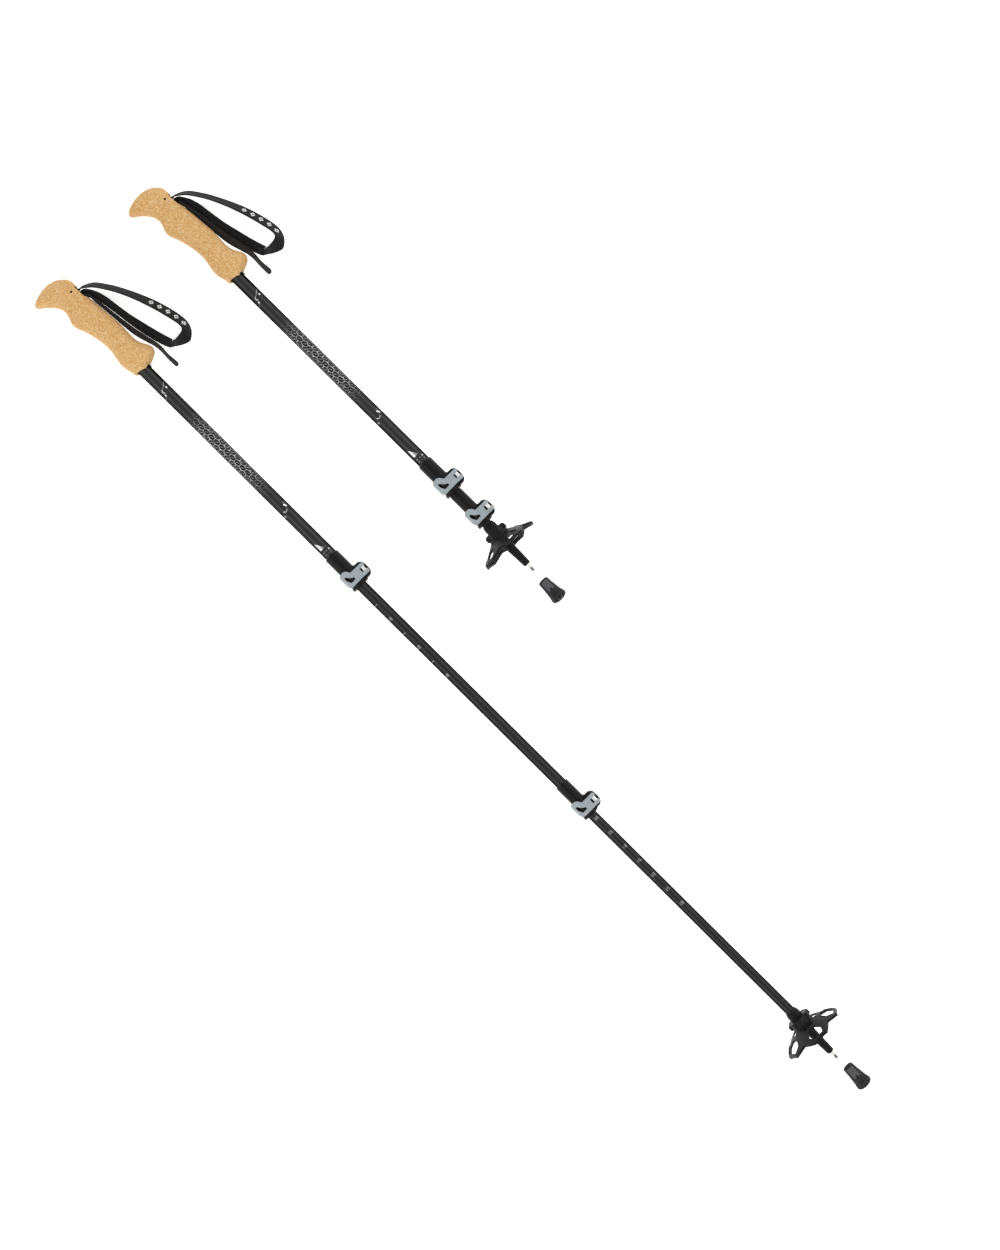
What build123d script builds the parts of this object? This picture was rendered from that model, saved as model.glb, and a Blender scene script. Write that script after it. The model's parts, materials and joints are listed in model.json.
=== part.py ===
"""A pair of three-section trekking poles: one drawn out for use, one pushed together.

Each pole is modelled in its own straight frame, in millimetres. X runs along the pole
from the top of the grip to the tip, Y points to the side with the wrist strap and the
clamp ears, and Z points up. lay_down() then puts a pole on the ground, where it rests
on its grip and on the rim of its basket.
"""

from build123d import *
from math import atan2, cos, degrees, pi, radians, sin, sqrt
import os

# ---------------------------------------------------------------- tubes
TUBE_WALL = 0.75
UPPER_TUBE_OD = 16.0
MIDDLE_TUBE_OD = 14.0
LOWER_TUBE_OD = 12.0
RUNNING_GAP = 0.05  # radial, between things that slide or turn on each other
SOFT_GAP = 0.3  # round soft pieces and curved faces that pass each other

UPPER_TUBE_TOP = 48.0
TUBE_IN_COLLAR = 24.0  # how far a tube end sits inside its clamp
GUIDE_HEAD = 6.0
GUIDE_SPIGOT = 12.0
GUIDE_STEP = 20.0  # from one tube's guide to the next when the pole is pushed together

# ---------------------------------------------------------------- clamps
UPPER_CLAMP_START = 464.0
CLAMP_LENGTH = 50.5
CLAMP_STOP_GAP = 1.0  # between the clamps when the pole is pushed together
COLLAR_WALL = 1.6
SHIM_WALL = 1.5
RING_WALL = 2.0
EAR_START = 28.0
EAR_END = 49.0
EAR_THICKNESS = 4.5
EAR_SPLIT = 2.0
EAR_RISE = 5.2  # from the barrel's axis to the top of the ears
EAR_CORNER = 7.0
END_RING_START = 46.4
END_RING_RISE = 1.0
BARREL_RISE = 5.6  # from the ring to the barrel's axis
BARREL_RADIUS = 2.4
CAM_RADIUS = 4.2
FORK_WIDTH = 5.4
FORK_REACH = 4.9
SCREW_RADIUS = 2.0
SCREW_HEAD_RADIUS = 3.7
SCREW_HEAD_HEIGHT = 3.0
SCREW_SOCKET_FLATS = 3.0
SCREW_END = 2.9  # past the barrel's axis
LEVER_THICKNESS = 2.4
LEVER_LEFT = 25.2
LEVER_ARM_LEFT = 31.9
LEVER_RIGHT = 45.9
LEVER_WRAP = 172.0  # degrees round the ring, from the ears' side
LEVER_CORNER = 1.2
WINDOW_CORNER = 0.7

# ---------------------------------------------------------------- grip and strap
GRIP_SQUARENESS = 2.5  # exponent of the grip's cross-section, 2 is an ellipse
CORE_WALL = 1.3  # round the tube
CORE_RADIUS = UPPER_TUBE_OD / 2 + CORE_WALL
CORE_RECESS = 1.0  # how far the core's end stands back inside the cork
HOUSING_START = 22.5
HOUSING_END = 48.0
HOUSING_TOP = 9.3
HOUSING_BOTTOM = -2.5
POCKET_START = 25.2
POCKET_END = 42.5
POCKET_BOTTOM = 0.4
STRAP_PIN = (29.2, 5.1)
STRAP_PIN_RADIUS = 1.5
WEBBING_WIDTH = 16.0
WEBBING_THICKNESS = 2.0
PAD_WIDTH = 22.0
POCKET_SIDE_GAP = 0.6
HOUSING_WALL = 2.0
HOUSING_HALF_WIDTH = WEBBING_WIDTH / 2 + POCKET_SIDE_GAP + HOUSING_WALL
STRAP_PIN_HALF_LENGTH = HOUSING_HALF_WIDTH + 2.0

# ---------------------------------------------------------------- tip end
BOSS_START = -77.0  # all places in this block are measured from the tip's end
BOSS_FULL = -73.0
HUB_START = -66.5
HUB_END = -51.0
THREAD_END = -50.0
FERRULE_END = -10.4
LOWER_TUBE_END = -57.0
BOSS_START_RADIUS = LOWER_TUBE_OD / 2 + 1.0
BOSS_RADIUS = LOWER_TUBE_OD / 2 + 2.25
THREAD_RADIUS = BOSS_RADIUS + 0.35
FERRULE_ROOT_RADIUS = 5.9
FERRULE_END_RADIUS = 4.5
SHANK_RADIUS = 2.45
SHANK_START = -36.0
SHANK_END = -5.2
CARBIDE_RADIUS = 1.9
CARBIDE_START = -12.0
CARBIDE_TEETH = 6

# ---------------------------------------------------------------- basket
PETALS = 5
BASKET_RADIUS = 40.0
BASKET_SHOULDER_RADIUS = 36.8
BASKET_VALLEY_RADIUS = 33.5
PETAL_FLAT_HALF_ANGLE = 14.0
PETAL_SHOULDER_HALF_ANGLE = 24.0
DISH_START = -57.5
DISH_SLOPE = 31.0  # degrees that the petals lean towards the tip
DISH_THICKNESS = 1.6
RIM_WIDTH = 2.6
RIM_EXTRA = 1.0
HOLE_CENTRE_RADIUS = 29.5
HOLE_RADIAL = 14.0
HOLE_TANGENTIAL = 20.0
HOLE_COLLAR = 1.2
COLLAR_EXTRA = 0.4
HUB_RADIUS = THREAD_RADIUS + 4.8
DISH_ROOT_RADIUS = HUB_RADIUS - 0.4
HUB_LUGS = 8
HUB_LUG_RADIUS = 2.7
HUB_LUG_START = -65.7
HUB_LUG_END = -59.3
HUB_LUG_CHAMFER = 0.9
HUB_SLOT_WIDTH = 13.0
HUB_SLOT_INNER = HUB_RADIUS + 0.8
HUB_SLOT_OUTER = HUB_RADIUS + 5.4

# ---------------------------------------------------------------- rubber cap
CAP_LENGTH = 32.0
CAP_MOUTH_RADIUS = 6.75
CAP_FLARE_RADIUS = 10.3
CAP_FLARE_AT = 27.0
CAP_END_RADIUS = 7.6
CAP_BORE_RADIUS = FERRULE_END_RADIUS + 0.5
CAP_BORE_DEPTH = 17.0
CAP_TIP_HOLE_RADIUS = 2.7
CAP_TIP_HOLE_END = 27.6
CAP_WASHER_RADIUS = 6.0
CAP_WASHER_THICKNESS = 1.5
CAP_LUGS = 10

# ---------------------------------------------------------------- the two poles
MIDDLE_TRAVEL = 330.0
LOWER_TRAVEL = 325.0
POLE_SPACING = 155.0
POLES = {
    "extended": {
        "middle": MIDDLE_TRAVEL,
        "lower": LOWER_TRAVEL,
        "y": 0.0,
        "start": 0.0,
        "basket_turn": 7.0,
        "cap_gap": 25.0,
    },
    "stowed": {
        "middle": 0.0,
        "lower": 0.0,
        "y": POLE_SPACING,
        "start": 2.0,
        "basket_turn": 18.0,
        "cap_gap": 15.0,
    },
}

# Grip outline: for each station along X, the beak side, the strap side and the
# half-thickness across.
GRIP_STATIONS = [
    (0.3, -18.0, -9.0, 3.2),
    (1.7, -25.7, -2.8, 7.1),
    (3.3, -30.6, 1.2, 9.8),
    (5.8, -36.1, 5.5, 12.2),
    (9.0, -38.6, 9.0, 14.0),
    (14.0, -33.2, 12.6, 15.0),
    (20.0, -26.4, 13.8, 15.0),
    (27.0, -21.0, 13.4, 15.0),
    (36.3, -17.9, 13.8, 14.6),
    (45.0, -19.0, 14.5, 14.5),
    (55.2, -22.4, 15.6, 14.8),
    (66.0, -19.4, 16.6, 15.0),
    (79.9, -15.1, 17.7, 15.0),
    (95.0, -12.5, 18.5, 14.8),
    (115.3, -13.0, 17.8, 14.4),
    (124.7, -15.0, 19.4, 14.6),
    (131.8, -15.3, 22.8, 15.2),
    (138.6, -14.2, 25.7, 15.4),
    (147.0, -12.2, 20.4, 13.8),
    (158.0, -10.2, 10.8, 11.2),
]
GRIP_END_STRAP_SIDE = (156.8, 11.6)
GRIP_END_BEAK_SIDE = (149.2, -11.4)
GRIP_REST = (14.0, 15.0)  # where the head touches the ground: along X, and depth

# Wrist strap, seen from above, in the grip's frame.
STRAP_OUTER_EDGE = [
    (26.9, 18.0),
    (32.0, 28.0),
    (45.4, 37.9),
    (61.9, 48.3),
    (83.1, 58.9),
    (104.3, 67.6),
    (126.7, 74.0),
    (143.2, 76.2),
    (155.0, 73.0),
    (163.2, 66.0),
    (164.6, 60.5),
    (158.5, 49.5),
    (152.0, 38.6),
]
STRAP_INNER_EDGE = [
    (153.8, 52.0),
    (151.8, 61.0),
    (148.4, 67.6),
    (132.6, 65.6),
    (109.0, 60.0),
    (85.5, 52.2),
    (66.6, 44.0),
    (54.8, 37.2),
    (41.8, 28.2),
    (35.0, 20.4),
]
PAD_LOOP_EDGE = [
    (37.4, 20.6),
    (50.1, 27.4),
    (61.9, 30.4),
    (79.6, 32.6),
    (97.2, 35.6),
    (114.9, 39.8),
    (132.6, 44.2),
    (153.1, 50.6),
]
PAD_GRIP_EDGE = [
    (151.2, 38.5),
    (144.4, 35.8),
    (128.0, 32.2),
    (112.0, 29.0),
    (96.0, 27.0),
    (79.6, 25.4),
    (60.0, 22.3),
    (45.0, 19.6),
]
TAIL_OUTER_EDGE = [
    (39.9, 15.4),
    (43.6, 18.3),
    (60.0, 21.2),
    (79.6, 24.1),
    (96.0, 25.7),
    (112.0, 27.7),
    (128.0, 30.9),
    (144.4, 34.4),
    (160.0, 33.7),
    (176.5, 35.2),
]
TAIL_INNER_EDGE = [
    (175.0, 28.6),
    (160.0, 28.4),
    (147.9, 28.9),
    (138.0, 28.0),
    (130.0, 26.2),
    (120.0, 22.6),
    (104.3, 20.4),
    (83.1, 19.6),
    (62.0, 17.2),
    (46.0, 15.6),
]


# ---------------------------------------------------------------- helpers
def across(x, y=0.0, z=0.0):
    """Plane across the pole at x: its own x is Y, and its own y is Z."""
    return Plane(origin=(x, y, z), x_dir=(0, 1, 0), z_dir=(1, 0, 0))


def rod(radius, start, end, y=0.0, z=0.0):
    """Round bar along the pole."""
    base = (Align.CENTER, Align.CENTER, Align.MIN)
    return across(start, y, z) * Cylinder(radius, end - start, align=base)


def pipe(outer, inner, start, end):
    """Round tube along the pole."""
    return rod(outer, start, end) - rod(inner, start - 1, end + 1)


def cone(radius_start, radius_end, start, end):
    """Tapered round bar along the pole."""
    base = (Align.CENTER, Align.CENTER, Align.MIN)
    return across(start) * Cone(radius_start, radius_end, end - start, align=base)


def block(x, y, z):
    """Box from three (low, high) pairs."""
    base = (Align.MIN, Align.MIN, Align.MIN)
    return Pos(x[0], y[0], z[0]) * Box(x[1] - x[0], y[1] - y[0], z[1] - z[0], align=base)


def upright(radius, x, y, low, high):
    """Round bar along Z."""
    base = (Align.CENTER, Align.CENTER, Align.MIN)
    return Pos(x, y, low) * Cylinder(radius, high - low, align=base)


def plan(points, low, high, corner=0.0):
    """Straight-sided prism of a plan outline, along Z, its corners rounded if asked."""
    face = make_face(Polyline(*points, close=True))
    if corner:
        face = fillet(face.vertices(), corner)
    return extrude(Plane.XY.offset(low) * face, high - low)


def ribbon(edge, back_edge, width):
    """Soft band standing on edge, between two smooth plan edges."""
    side = Spline(*edge)
    back = Spline(*back_edge)
    start = Line(back @ 1, side @ 0)
    end = Line(side @ 1, back @ 0)
    face = make_face([side, end, back, start])
    return extrude(Plane.XY.offset(-width / 2) * face, width)


def revolve_profile(points):
    """Solid of revolution about the pole's axis, from (x, radius) points."""
    face = make_face(Polyline(*points, close=True))
    return revolve(face, Axis.X)


# ---------------------------------------------------------------- grip
def grip_section(station):
    """One rounded cross-section of the grip."""
    x, low, high, half = station
    centre = (low + high) / 2
    reach = (high - low) / 2
    power = 2 / GRIP_SQUARENESS
    points = []
    for step in range(16):
        turn = 2 * pi * step / 16
        y = abs(cos(turn)) ** power * (1 if cos(turn) > 0 else -1)
        z = abs(sin(turn)) ** power * (1 if sin(turn) > 0 else -1)
        points.append((reach * y, half * z))
    return across(x, centre) * make_face(Spline(*points, periodic=True))


def behind_grip_end(solid, recess=0.0):
    """Cut a solid off at the grip's slanted lower end, or a little inside it."""
    x_high, y_high = GRIP_END_STRAP_SIDE[0] - recess, GRIP_END_STRAP_SIDE[1]
    x_low, y_low = GRIP_END_BEAK_SIDE[0] - recess, GRIP_END_BEAK_SIDE[1]
    slope = (x_high - x_low) / (y_high - y_low)
    corners = [
        (x_low + slope * (-60 - y_low), -60),
        (x_low + slope * (60 - y_low), 60),
        (250, 60),
        (250, -60),
    ]
    return solid - plan(corners, -40, 40)


def make_cork_grip():
    body = loft([grip_section(station) for station in GRIP_STATIONS])
    body = behind_grip_end(body)
    body -= rod(CORE_RADIUS, HOUSING_END, 200)
    body -= block(
        (HOUSING_START, HOUSING_END),
        (HOUSING_BOTTOM, HOUSING_TOP),
        (-HOUSING_HALF_WIDTH, HOUSING_HALF_WIDTH),
    )
    half = WEBBING_WIDTH / 2 + POCKET_SIDE_GAP
    body -= block((POCKET_START, POCKET_END), (HOUSING_TOP - 1, 40), (-half, half))
    pin_x, pin_y = STRAP_PIN
    body -= upright(STRAP_PIN_RADIUS, pin_x, pin_y, -30, 30)
    return body


def make_grip_core():
    body = behind_grip_end(rod(CORE_RADIUS, HOUSING_END, 200), CORE_RECESS)
    body += block(
        (HOUSING_START, HOUSING_END),
        (HOUSING_BOTTOM, HOUSING_TOP),
        (-HOUSING_HALF_WIDTH, HOUSING_HALF_WIDTH),
    )
    body -= rod(UPPER_TUBE_OD / 2, UPPER_TUBE_TOP, 200)
    half = WEBBING_WIDTH / 2 + POCKET_SIDE_GAP
    body -= block((POCKET_START, POCKET_END), (POCKET_BOTTOM, 40), (-half, half))
    pin_x, pin_y = STRAP_PIN
    body -= upright(STRAP_PIN_RADIUS, pin_x, pin_y, -30, 30)
    return body


def make_strap_pin():
    pin_x, pin_y = STRAP_PIN
    reach = STRAP_PIN_HALF_LENGTH
    return upright(STRAP_PIN_RADIUS, pin_x, pin_y, -reach, reach)


def make_wrist_strap():
    """Webbing: an eye round the pin, the long outer run and the fold at the wrist."""
    pin_x, pin_y = STRAP_PIN
    half = WEBBING_WIDTH / 2
    bore = STRAP_PIN_RADIUS + RUNNING_GAP
    band = ribbon(STRAP_OUTER_EDGE, STRAP_INNER_EDGE, WEBBING_WIDTH)
    root = plan(
        [
            (pin_x - bore - WEBBING_THICKNESS + 0.9, pin_y),
            (27.6, 12.0),
            STRAP_OUTER_EDGE[0],
            STRAP_INNER_EDGE[-1],
            (32.4, 12.0),
            (pin_x + bore + WEBBING_THICKNESS, pin_y),
        ],
        -half,
        half,
    )
    eye = upright(bore + WEBBING_THICKNESS, pin_x, pin_y, -half, half)
    return band + root + eye - upright(bore, pin_x, pin_y, -half - 1, half + 1)


def make_strap_pad():
    return ribbon(PAD_LOOP_EDGE, PAD_GRIP_EDGE, PAD_WIDTH)


def make_strap_tail():
    """Free end of the webbing, from the grip's slot to its rounded tip."""
    half = WEBBING_WIDTH / 2
    band = ribbon(TAIL_OUTER_EDGE, TAIL_INNER_EDGE, WEBBING_WIDTH)
    root = plan(
        [
            TAIL_INNER_EDGE[-1],
            (42.0, 15.2),
            (41.2, 13.0),
            (40.6, 6.0),
            (38.2, 6.0),
            (38.2, 13.0),
            TAIL_OUTER_EDGE[0],
        ],
        -half,
        half,
    )
    return band + root


def make_strap_wedge():
    """Wedge that locks the webbing inside the grip."""
    corners = [(33.6, 6.2), (37.6, 6.2), (37.6, 12.4), (34.6, 12.4)]
    half = WEBBING_WIDTH / 2
    return plan(corners, -half, half)


# ---------------------------------------------------------------- tubes
def make_tube(outer_diameter, start, end):
    return pipe(outer_diameter / 2, outer_diameter / 2 - TUBE_WALL, start, end)


def make_tube_guide(tube_od, around_od, tube_start):
    """Plastic bush in a tube's top end, which runs inside the next larger tube."""
    running = around_od / 2 - TUBE_WALL - RUNNING_GAP
    inside = tube_od / 2 - TUBE_WALL
    head = rod(running, tube_start - GUIDE_HEAD, tube_start)
    spigot = rod(inside, tube_start, tube_start + GUIDE_SPIGOT)
    hole = rod(inside - 1.5, tube_start - GUIDE_HEAD - 1, tube_start + GUIDE_SPIGOT + 1)
    return head + spigot - hole


# ---------------------------------------------------------------- clamps
def clamp_sizes(outer_od, inner_od):
    """Radii and places that the pieces of one clamp share."""
    shim = inner_od / 2 + SHIM_WALL
    ring = shim + RING_WALL
    return {
        "collar": outer_od / 2 + COLLAR_WALL,
        "tube": outer_od / 2,
        "inner": inner_od / 2,
        "shim": shim,
        "ring": ring,
        "barrel_y": ring + BARREL_RISE,
        "barrel_z": EAR_SPLIT / 2 + EAR_THICKNESS + SOFT_GAP + CAM_RADIUS,
        "middle": (LEVER_ARM_LEFT + LEVER_RIGHT) / 2,
    }


def make_clamp(start, outer_od, inner_od):
    """Split collar with two ears, fixed on the end of the outer tube."""
    s = clamp_sizes(outer_od, inner_od)
    end = start + CLAMP_LENGTH
    sleeve = rod(s["collar"], start, start + EAR_START)
    sleeve = chamfer(sleeve.faces().sort_by(Axis.X)[0].edges(), 0.9)
    body = sleeve + rod(s["ring"], start + EAR_START - 1, end)
    flange = rod(s["ring"] + END_RING_RISE, start + END_RING_START, end)
    body += chamfer(flange.edges().filter_by(GeomType.CIRCLE), 0.5)
    top = s["barrel_y"] + EAR_RISE
    half_ear = EAR_SPLIT / 2 + EAR_THICKNESS
    ears = block((start + EAR_START, start + EAR_END), (0, top), (-half_ear, half_ear))
    corners = ears.edges().filter_by(Axis.Z).group_by(Axis.Y)[-1]
    body += fillet(corners, EAR_CORNER)
    body -= rod(s["tube"], start - 1, start + TUBE_IN_COLLAR)
    body -= rod(s["shim"], start + TUBE_IN_COLLAR - 0.5, end + 1)
    split = (start + EAR_START - 1.2, end + 1)
    body -= block(split, (0, top + 1), (-EAR_SPLIT / 2, EAR_SPLIT / 2))
    screw_x = start + s["middle"]
    hole = upright(SCREW_RADIUS, screw_x, s["barrel_y"], -half_ear - 1, half_ear + 1)
    return body - hole


def make_clamp_shim(start, outer_od, inner_od):
    """Thin split sleeve between the clamp and the tube that it grips."""
    s = clamp_sizes(outer_od, inner_od)
    shim = pipe(
        s["shim"],
        s["inner"] + RUNNING_GAP,
        start + TUBE_IN_COLLAR,
        start + CLAMP_LENGTH,
    )
    slit = block(
        (start + EAR_START, start + CLAMP_LENGTH + 1),
        (0, s["shim"] + 1),
        (-EAR_SPLIT / 2, EAR_SPLIT / 2),
    )
    return shim - slit


def make_clamp_barrel(start, outer_od, inner_od):
    """Cross barrel that the lever turns on and the screw is threaded into."""
    s = clamp_sizes(outer_od, inner_od)
    left = start + LEVER_ARM_LEFT + 0.8
    right = start + LEVER_RIGHT - 0.8
    barrel = rod(BARREL_RADIUS, left, right, s["barrel_y"], s["barrel_z"])
    barrel = chamfer(barrel.edges().filter_by(GeomType.CIRCLE), 0.4)
    hole = upright(SCREW_RADIUS, start + s["middle"], s["barrel_y"], 0, 30)
    return barrel - hole


def make_clamp_screw(start, outer_od, inner_od):
    """Socket-head screw through both ears and the barrel."""
    s = clamp_sizes(outer_od, inner_od)
    x = start + s["middle"]
    y = s["barrel_y"]
    seat = -EAR_SPLIT / 2 - EAR_THICKNESS
    shank = upright(SCREW_RADIUS, x, y, seat, s["barrel_z"] + SCREW_END)
    shank = chamfer(shank.faces().sort_by(Axis.Z)[-1].edges(), 0.5)
    head = upright(SCREW_HEAD_RADIUS, x, y, seat - SCREW_HEAD_HEIGHT, seat)
    head = fillet(head.faces().sort_by(Axis.Z)[0].edges(), 0.8)
    flats = RegularPolygon(SCREW_SOCKET_FLATS / sqrt(3), 6)
    low = Plane.XY.offset(seat - SCREW_HEAD_HEIGHT - 1)
    socket = extrude(low * (Pos(x, y) * flats), SCREW_HEAD_HEIGHT)
    return shank + head - socket


def make_clamp_lever(start, outer_od, inner_od):
    """Curved cam lever that lies over the front of the clamp."""
    s = clamp_sizes(outer_od, inner_od)
    inside = s["ring"] + SOFT_GAP
    outside = inside + LEVER_THICKNESS
    left = start + LEVER_LEFT
    right = start + LEVER_RIGHT
    wrap = rod(outside, left, right) - rod(inside, left - 1, right + 1)
    wrap -= block((left - 1, right + 1), (0, 40), (-40, 40))
    tail = radians(LEVER_WRAP)
    wrap -= extrude(
        across(left - 1)
        * make_face(
            Polyline(
                (0, 0),
                (40 * cos(tail), 40 * sin(tail)),
                (-40, -40),
                (0, -40),
                close=True,
            )
        ),
        right - left + 2,
    )
    plate = block((left, right), (0, s["barrel_y"]), (inside, outside))
    cam = rod(CAM_RADIUS, left, right, s["barrel_y"], s["barrel_z"])
    body = wrap + plate + cam
    top = s["barrel_y"] + CAM_RADIUS + 1
    low = -outside - 1
    arm_left = start + LEVER_ARM_LEFT
    outline = [
        (arm_left + 1.6, top),
        (arm_left, s["barrel_y"] + 2.6),
        (arm_left, 2.0),
        (start + 27.0, -1.2),
        (left, -4.2),
        (left, -0.78 * outside),
        (start + 28.2, low),
        (start + 38.0, low),
        (right, -0.80 * outside),
        (right, s["barrel_y"] + 2.6),
        (right - 1.6, top),
    ]
    body &= plan(outline, -30, 30, LEVER_CORNER)
    window = [
        (start + 38.2, 1.3),
        (start + 41.3, 1.3),
        (start + 41.6, -5.4),
        (start + 36.0, -8.4),
        (start + 31.4, -8.4),
        (start + 31.4, -6.3),
        (start + 35.4, -3.4),
        (start + 37.8, -0.6),
    ]
    body -= plan(window, 0, 30, WINDOW_CORNER)
    gap = (start + s["middle"] - FORK_WIDTH / 2, start + s["middle"] + FORK_WIDTH / 2)
    reach = rod(FORK_REACH, gap[0], gap[1], s["barrel_y"], s["barrel_z"])
    body -= reach
    bore = BARREL_RADIUS + RUNNING_GAP
    return body - rod(bore, left - 1, right + 1, s["barrel_y"], s["barrel_z"])


# ---------------------------------------------------------------- tip end
def make_tip_ferrule(tip):
    """Plastic ferrule on the lower tube: boss, thread for the basket, tapered nose."""
    profile = [
        (tip + BOSS_START, 0),
        (tip + BOSS_START, BOSS_START_RADIUS),
        (tip + BOSS_FULL, BOSS_RADIUS),
        (tip + HUB_START - 0.3, BOSS_RADIUS),
        (tip + HUB_START - 0.3, THREAD_RADIUS),
        (tip + THREAD_END, THREAD_RADIUS),
        (tip + THREAD_END, FERRULE_ROOT_RADIUS + 0.8),
        (tip + THREAD_END + 3, FERRULE_ROOT_RADIUS),
        (tip + FERRULE_END - 1.0, FERRULE_END_RADIUS),
        (tip + FERRULE_END, FERRULE_END_RADIUS - 0.8),
        (tip + FERRULE_END, 0),
    ]
    body = revolve_profile(profile)
    body -= rod(LOWER_TUBE_OD / 2, tip + BOSS_START - 1, tip + LOWER_TUBE_END)
    return body - rod(SHANK_RADIUS, tip + SHANK_START, tip)


def make_tip_shank(tip):
    """Steel sleeve that carries the carbide."""
    body = rod(SHANK_RADIUS, tip + SHANK_START, tip + SHANK_END)
    body = chamfer(body.faces().sort_by(Axis.X)[-1].edges(), 0.5)
    return body - rod(CARBIDE_RADIUS, tip + CARBIDE_START, tip)


def make_carbide_tip(tip):
    """Hollow-ground carbide point with a toothed crown."""
    body = rod(CARBIDE_RADIUS, tip + CARBIDE_START, tip)
    body -= cone(0.1, CARBIDE_RADIUS - 0.4, tip - 1.4, tip + 0.01)
    for tooth in range(CARBIDE_TEETH // 2):
        turn = 360 / CARBIDE_TEETH * tooth
        notch = block((tip - 0.9, tip + 1), (-3, 3), (-0.35, 0.35))
        body -= Rot(turn, 0, 0) * notch
    return body


def outline_corners():
    """Corners of the basket seen along the pole: angle from +Z in radians, and radius."""
    corners = []
    for petal in range(PETALS):
        middle = 360 / PETALS * petal
        for offset, radius in (
            (-PETAL_SHOULDER_HALF_ANGLE, BASKET_SHOULDER_RADIUS),
            (-PETAL_FLAT_HALF_ANGLE, BASKET_RADIUS),
            (PETAL_FLAT_HALF_ANGLE, BASKET_RADIUS),
            (PETAL_SHOULDER_HALF_ANGLE, BASKET_SHOULDER_RADIUS),
            (180 / PETALS, BASKET_VALLEY_RADIUS),
        ):
            corners.append((radians(middle + offset), radius))
    return corners


def petal_outline(shrink):
    """Plan of the basket seen along the pole, drawn in by shrink."""
    points = []
    for angle, radius in outline_corners():
        reach = radius - shrink
        points.append((reach * sin(angle), reach * cos(angle)))
    return make_face(Polyline(*points, close=True))


def dish(tip, lift, thickness):
    """Conical shell that the petals are cut from."""
    slope = sin(radians(DISH_SLOPE)) / cos(radians(DISH_SLOPE))
    wide = BASKET_RADIUS + 2
    rise = (wide - DISH_ROOT_RADIUS) * slope
    start = tip + DISH_START - lift
    return revolve_profile(
        [
            (start, DISH_ROOT_RADIUS),
            (start + rise, wide),
            (start + rise + thickness, wide),
            (start + thickness, DISH_ROOT_RADIUS),
        ]
    )


def petal_hole(petal):
    """Hexagonal window of one petal, as a face across the pole."""
    long = HOLE_TANGENTIAL / 2
    high = HOLE_RADIAL / 2
    hexagon = make_face(
        Polyline(
            (-long, -0.15 * high),
            (-0.5 * long, -high),
            (0.5 * long, -high),
            (long, -0.15 * high),
            (0.62 * long, high),
            (-0.62 * long, high),
            close=True,
        )
    )
    return Rot(0, 0, 360 / PETALS * petal) * (Pos(0, HOLE_CENTRE_RADIUS) * hexagon)


def make_basket(tip, turn):
    """Trekking basket with finger lugs, screwed onto the ferrule."""
    whole = extrude(across(tip - 90) * petal_outline(0), 120)
    inner = extrude(across(tip - 90) * petal_outline(RIM_WIDTH), 120)
    thin = dish(tip, 0, DISH_THICKNESS) & whole
    rim = (dish(tip, RIM_EXTRA, DISH_THICKNESS + 2 * RIM_EXTRA) & whole) - inner
    body = thin + rim
    for petal in range(PETALS):
        frame_face = petal_hole(petal)
        collar_face = offset(frame_face, HOLE_COLLAR)
        lip = dish(tip, COLLAR_EXTRA, DISH_THICKNESS + 2 * COLLAR_EXTRA)
        body += lip & extrude(across(tip - 90) * collar_face, 120)
    for petal in range(PETALS):
        body -= extrude(across(tip - 90) * petal_hole(petal), 120)
    body += rod(HUB_RADIUS, tip + HUB_START, tip + HUB_END)
    for lug in range(HUB_LUGS):
        around = 2 * pi * lug / HUB_LUGS
        knob = rod(
            HUB_LUG_RADIUS,
            tip + HUB_LUG_START,
            tip + HUB_LUG_END,
            (HUB_RADIUS - 0.4) * cos(around),
            (HUB_RADIUS - 0.4) * sin(around),
        )
        body += chamfer(knob.edges().filter_by(GeomType.CIRCLE), HUB_LUG_CHAMFER)
    for slot in range(PETALS):
        cut = block(
            (tip + DISH_START - 1, tip + HUB_END + 8),
            (-HUB_SLOT_WIDTH / 2, HUB_SLOT_WIDTH / 2),
            (HUB_SLOT_INNER, HUB_SLOT_OUTER),
        )
        body -= Rot(360 / PETALS * slot, 0, 0) * cut
    body -= rod(THREAD_RADIUS + RUNNING_GAP, tip - 90, tip)
    return Rot(-turn, 0, 0) * body


def make_rubber_cap():
    """Push-on rubber boot, its mouth at x = 0 and its foot towards +X."""
    profile = [
        (0, 0),
        (0, CAP_MOUTH_RADIUS - 1.2),
        (1.2, CAP_MOUTH_RADIUS),
        (9.0, CAP_MOUTH_RADIUS + 0.5),
        (21.0, CAP_MOUTH_RADIUS + 1.9),
        (CAP_FLARE_AT - 0.6, CAP_FLARE_RADIUS - 0.3),
        (CAP_FLARE_AT + 0.6, CAP_FLARE_RADIUS),
        (CAP_LENGTH - 1.6, CAP_END_RADIUS + 1.2),
        (CAP_LENGTH, CAP_END_RADIUS - 2.2),
        (CAP_LENGTH, 0),
    ]
    body = revolve_profile(profile)
    for lug in range(CAP_LUGS):
        groove = block((CAP_FLARE_AT + 0.9, CAP_LENGTH + 1), (6.4, 20), (-0.8, 0.8))
        body -= Rot(360 / CAP_LUGS * (lug + 0.5), 0, 0) * groove
    body -= rod(CAP_BORE_RADIUS, -1, CAP_BORE_DEPTH)
    body -= rod(CAP_TIP_HOLE_RADIUS, 0, CAP_TIP_HOLE_END)
    return body - make_cap_washer()


def make_cap_washer():
    """Steel disc moulded into the foot, where the carbide would wear through."""
    end = CAP_TIP_HOLE_END + CAP_WASHER_THICKNESS
    return rod(CAP_WASHER_RADIUS, CAP_TIP_HOLE_END, end)


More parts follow.
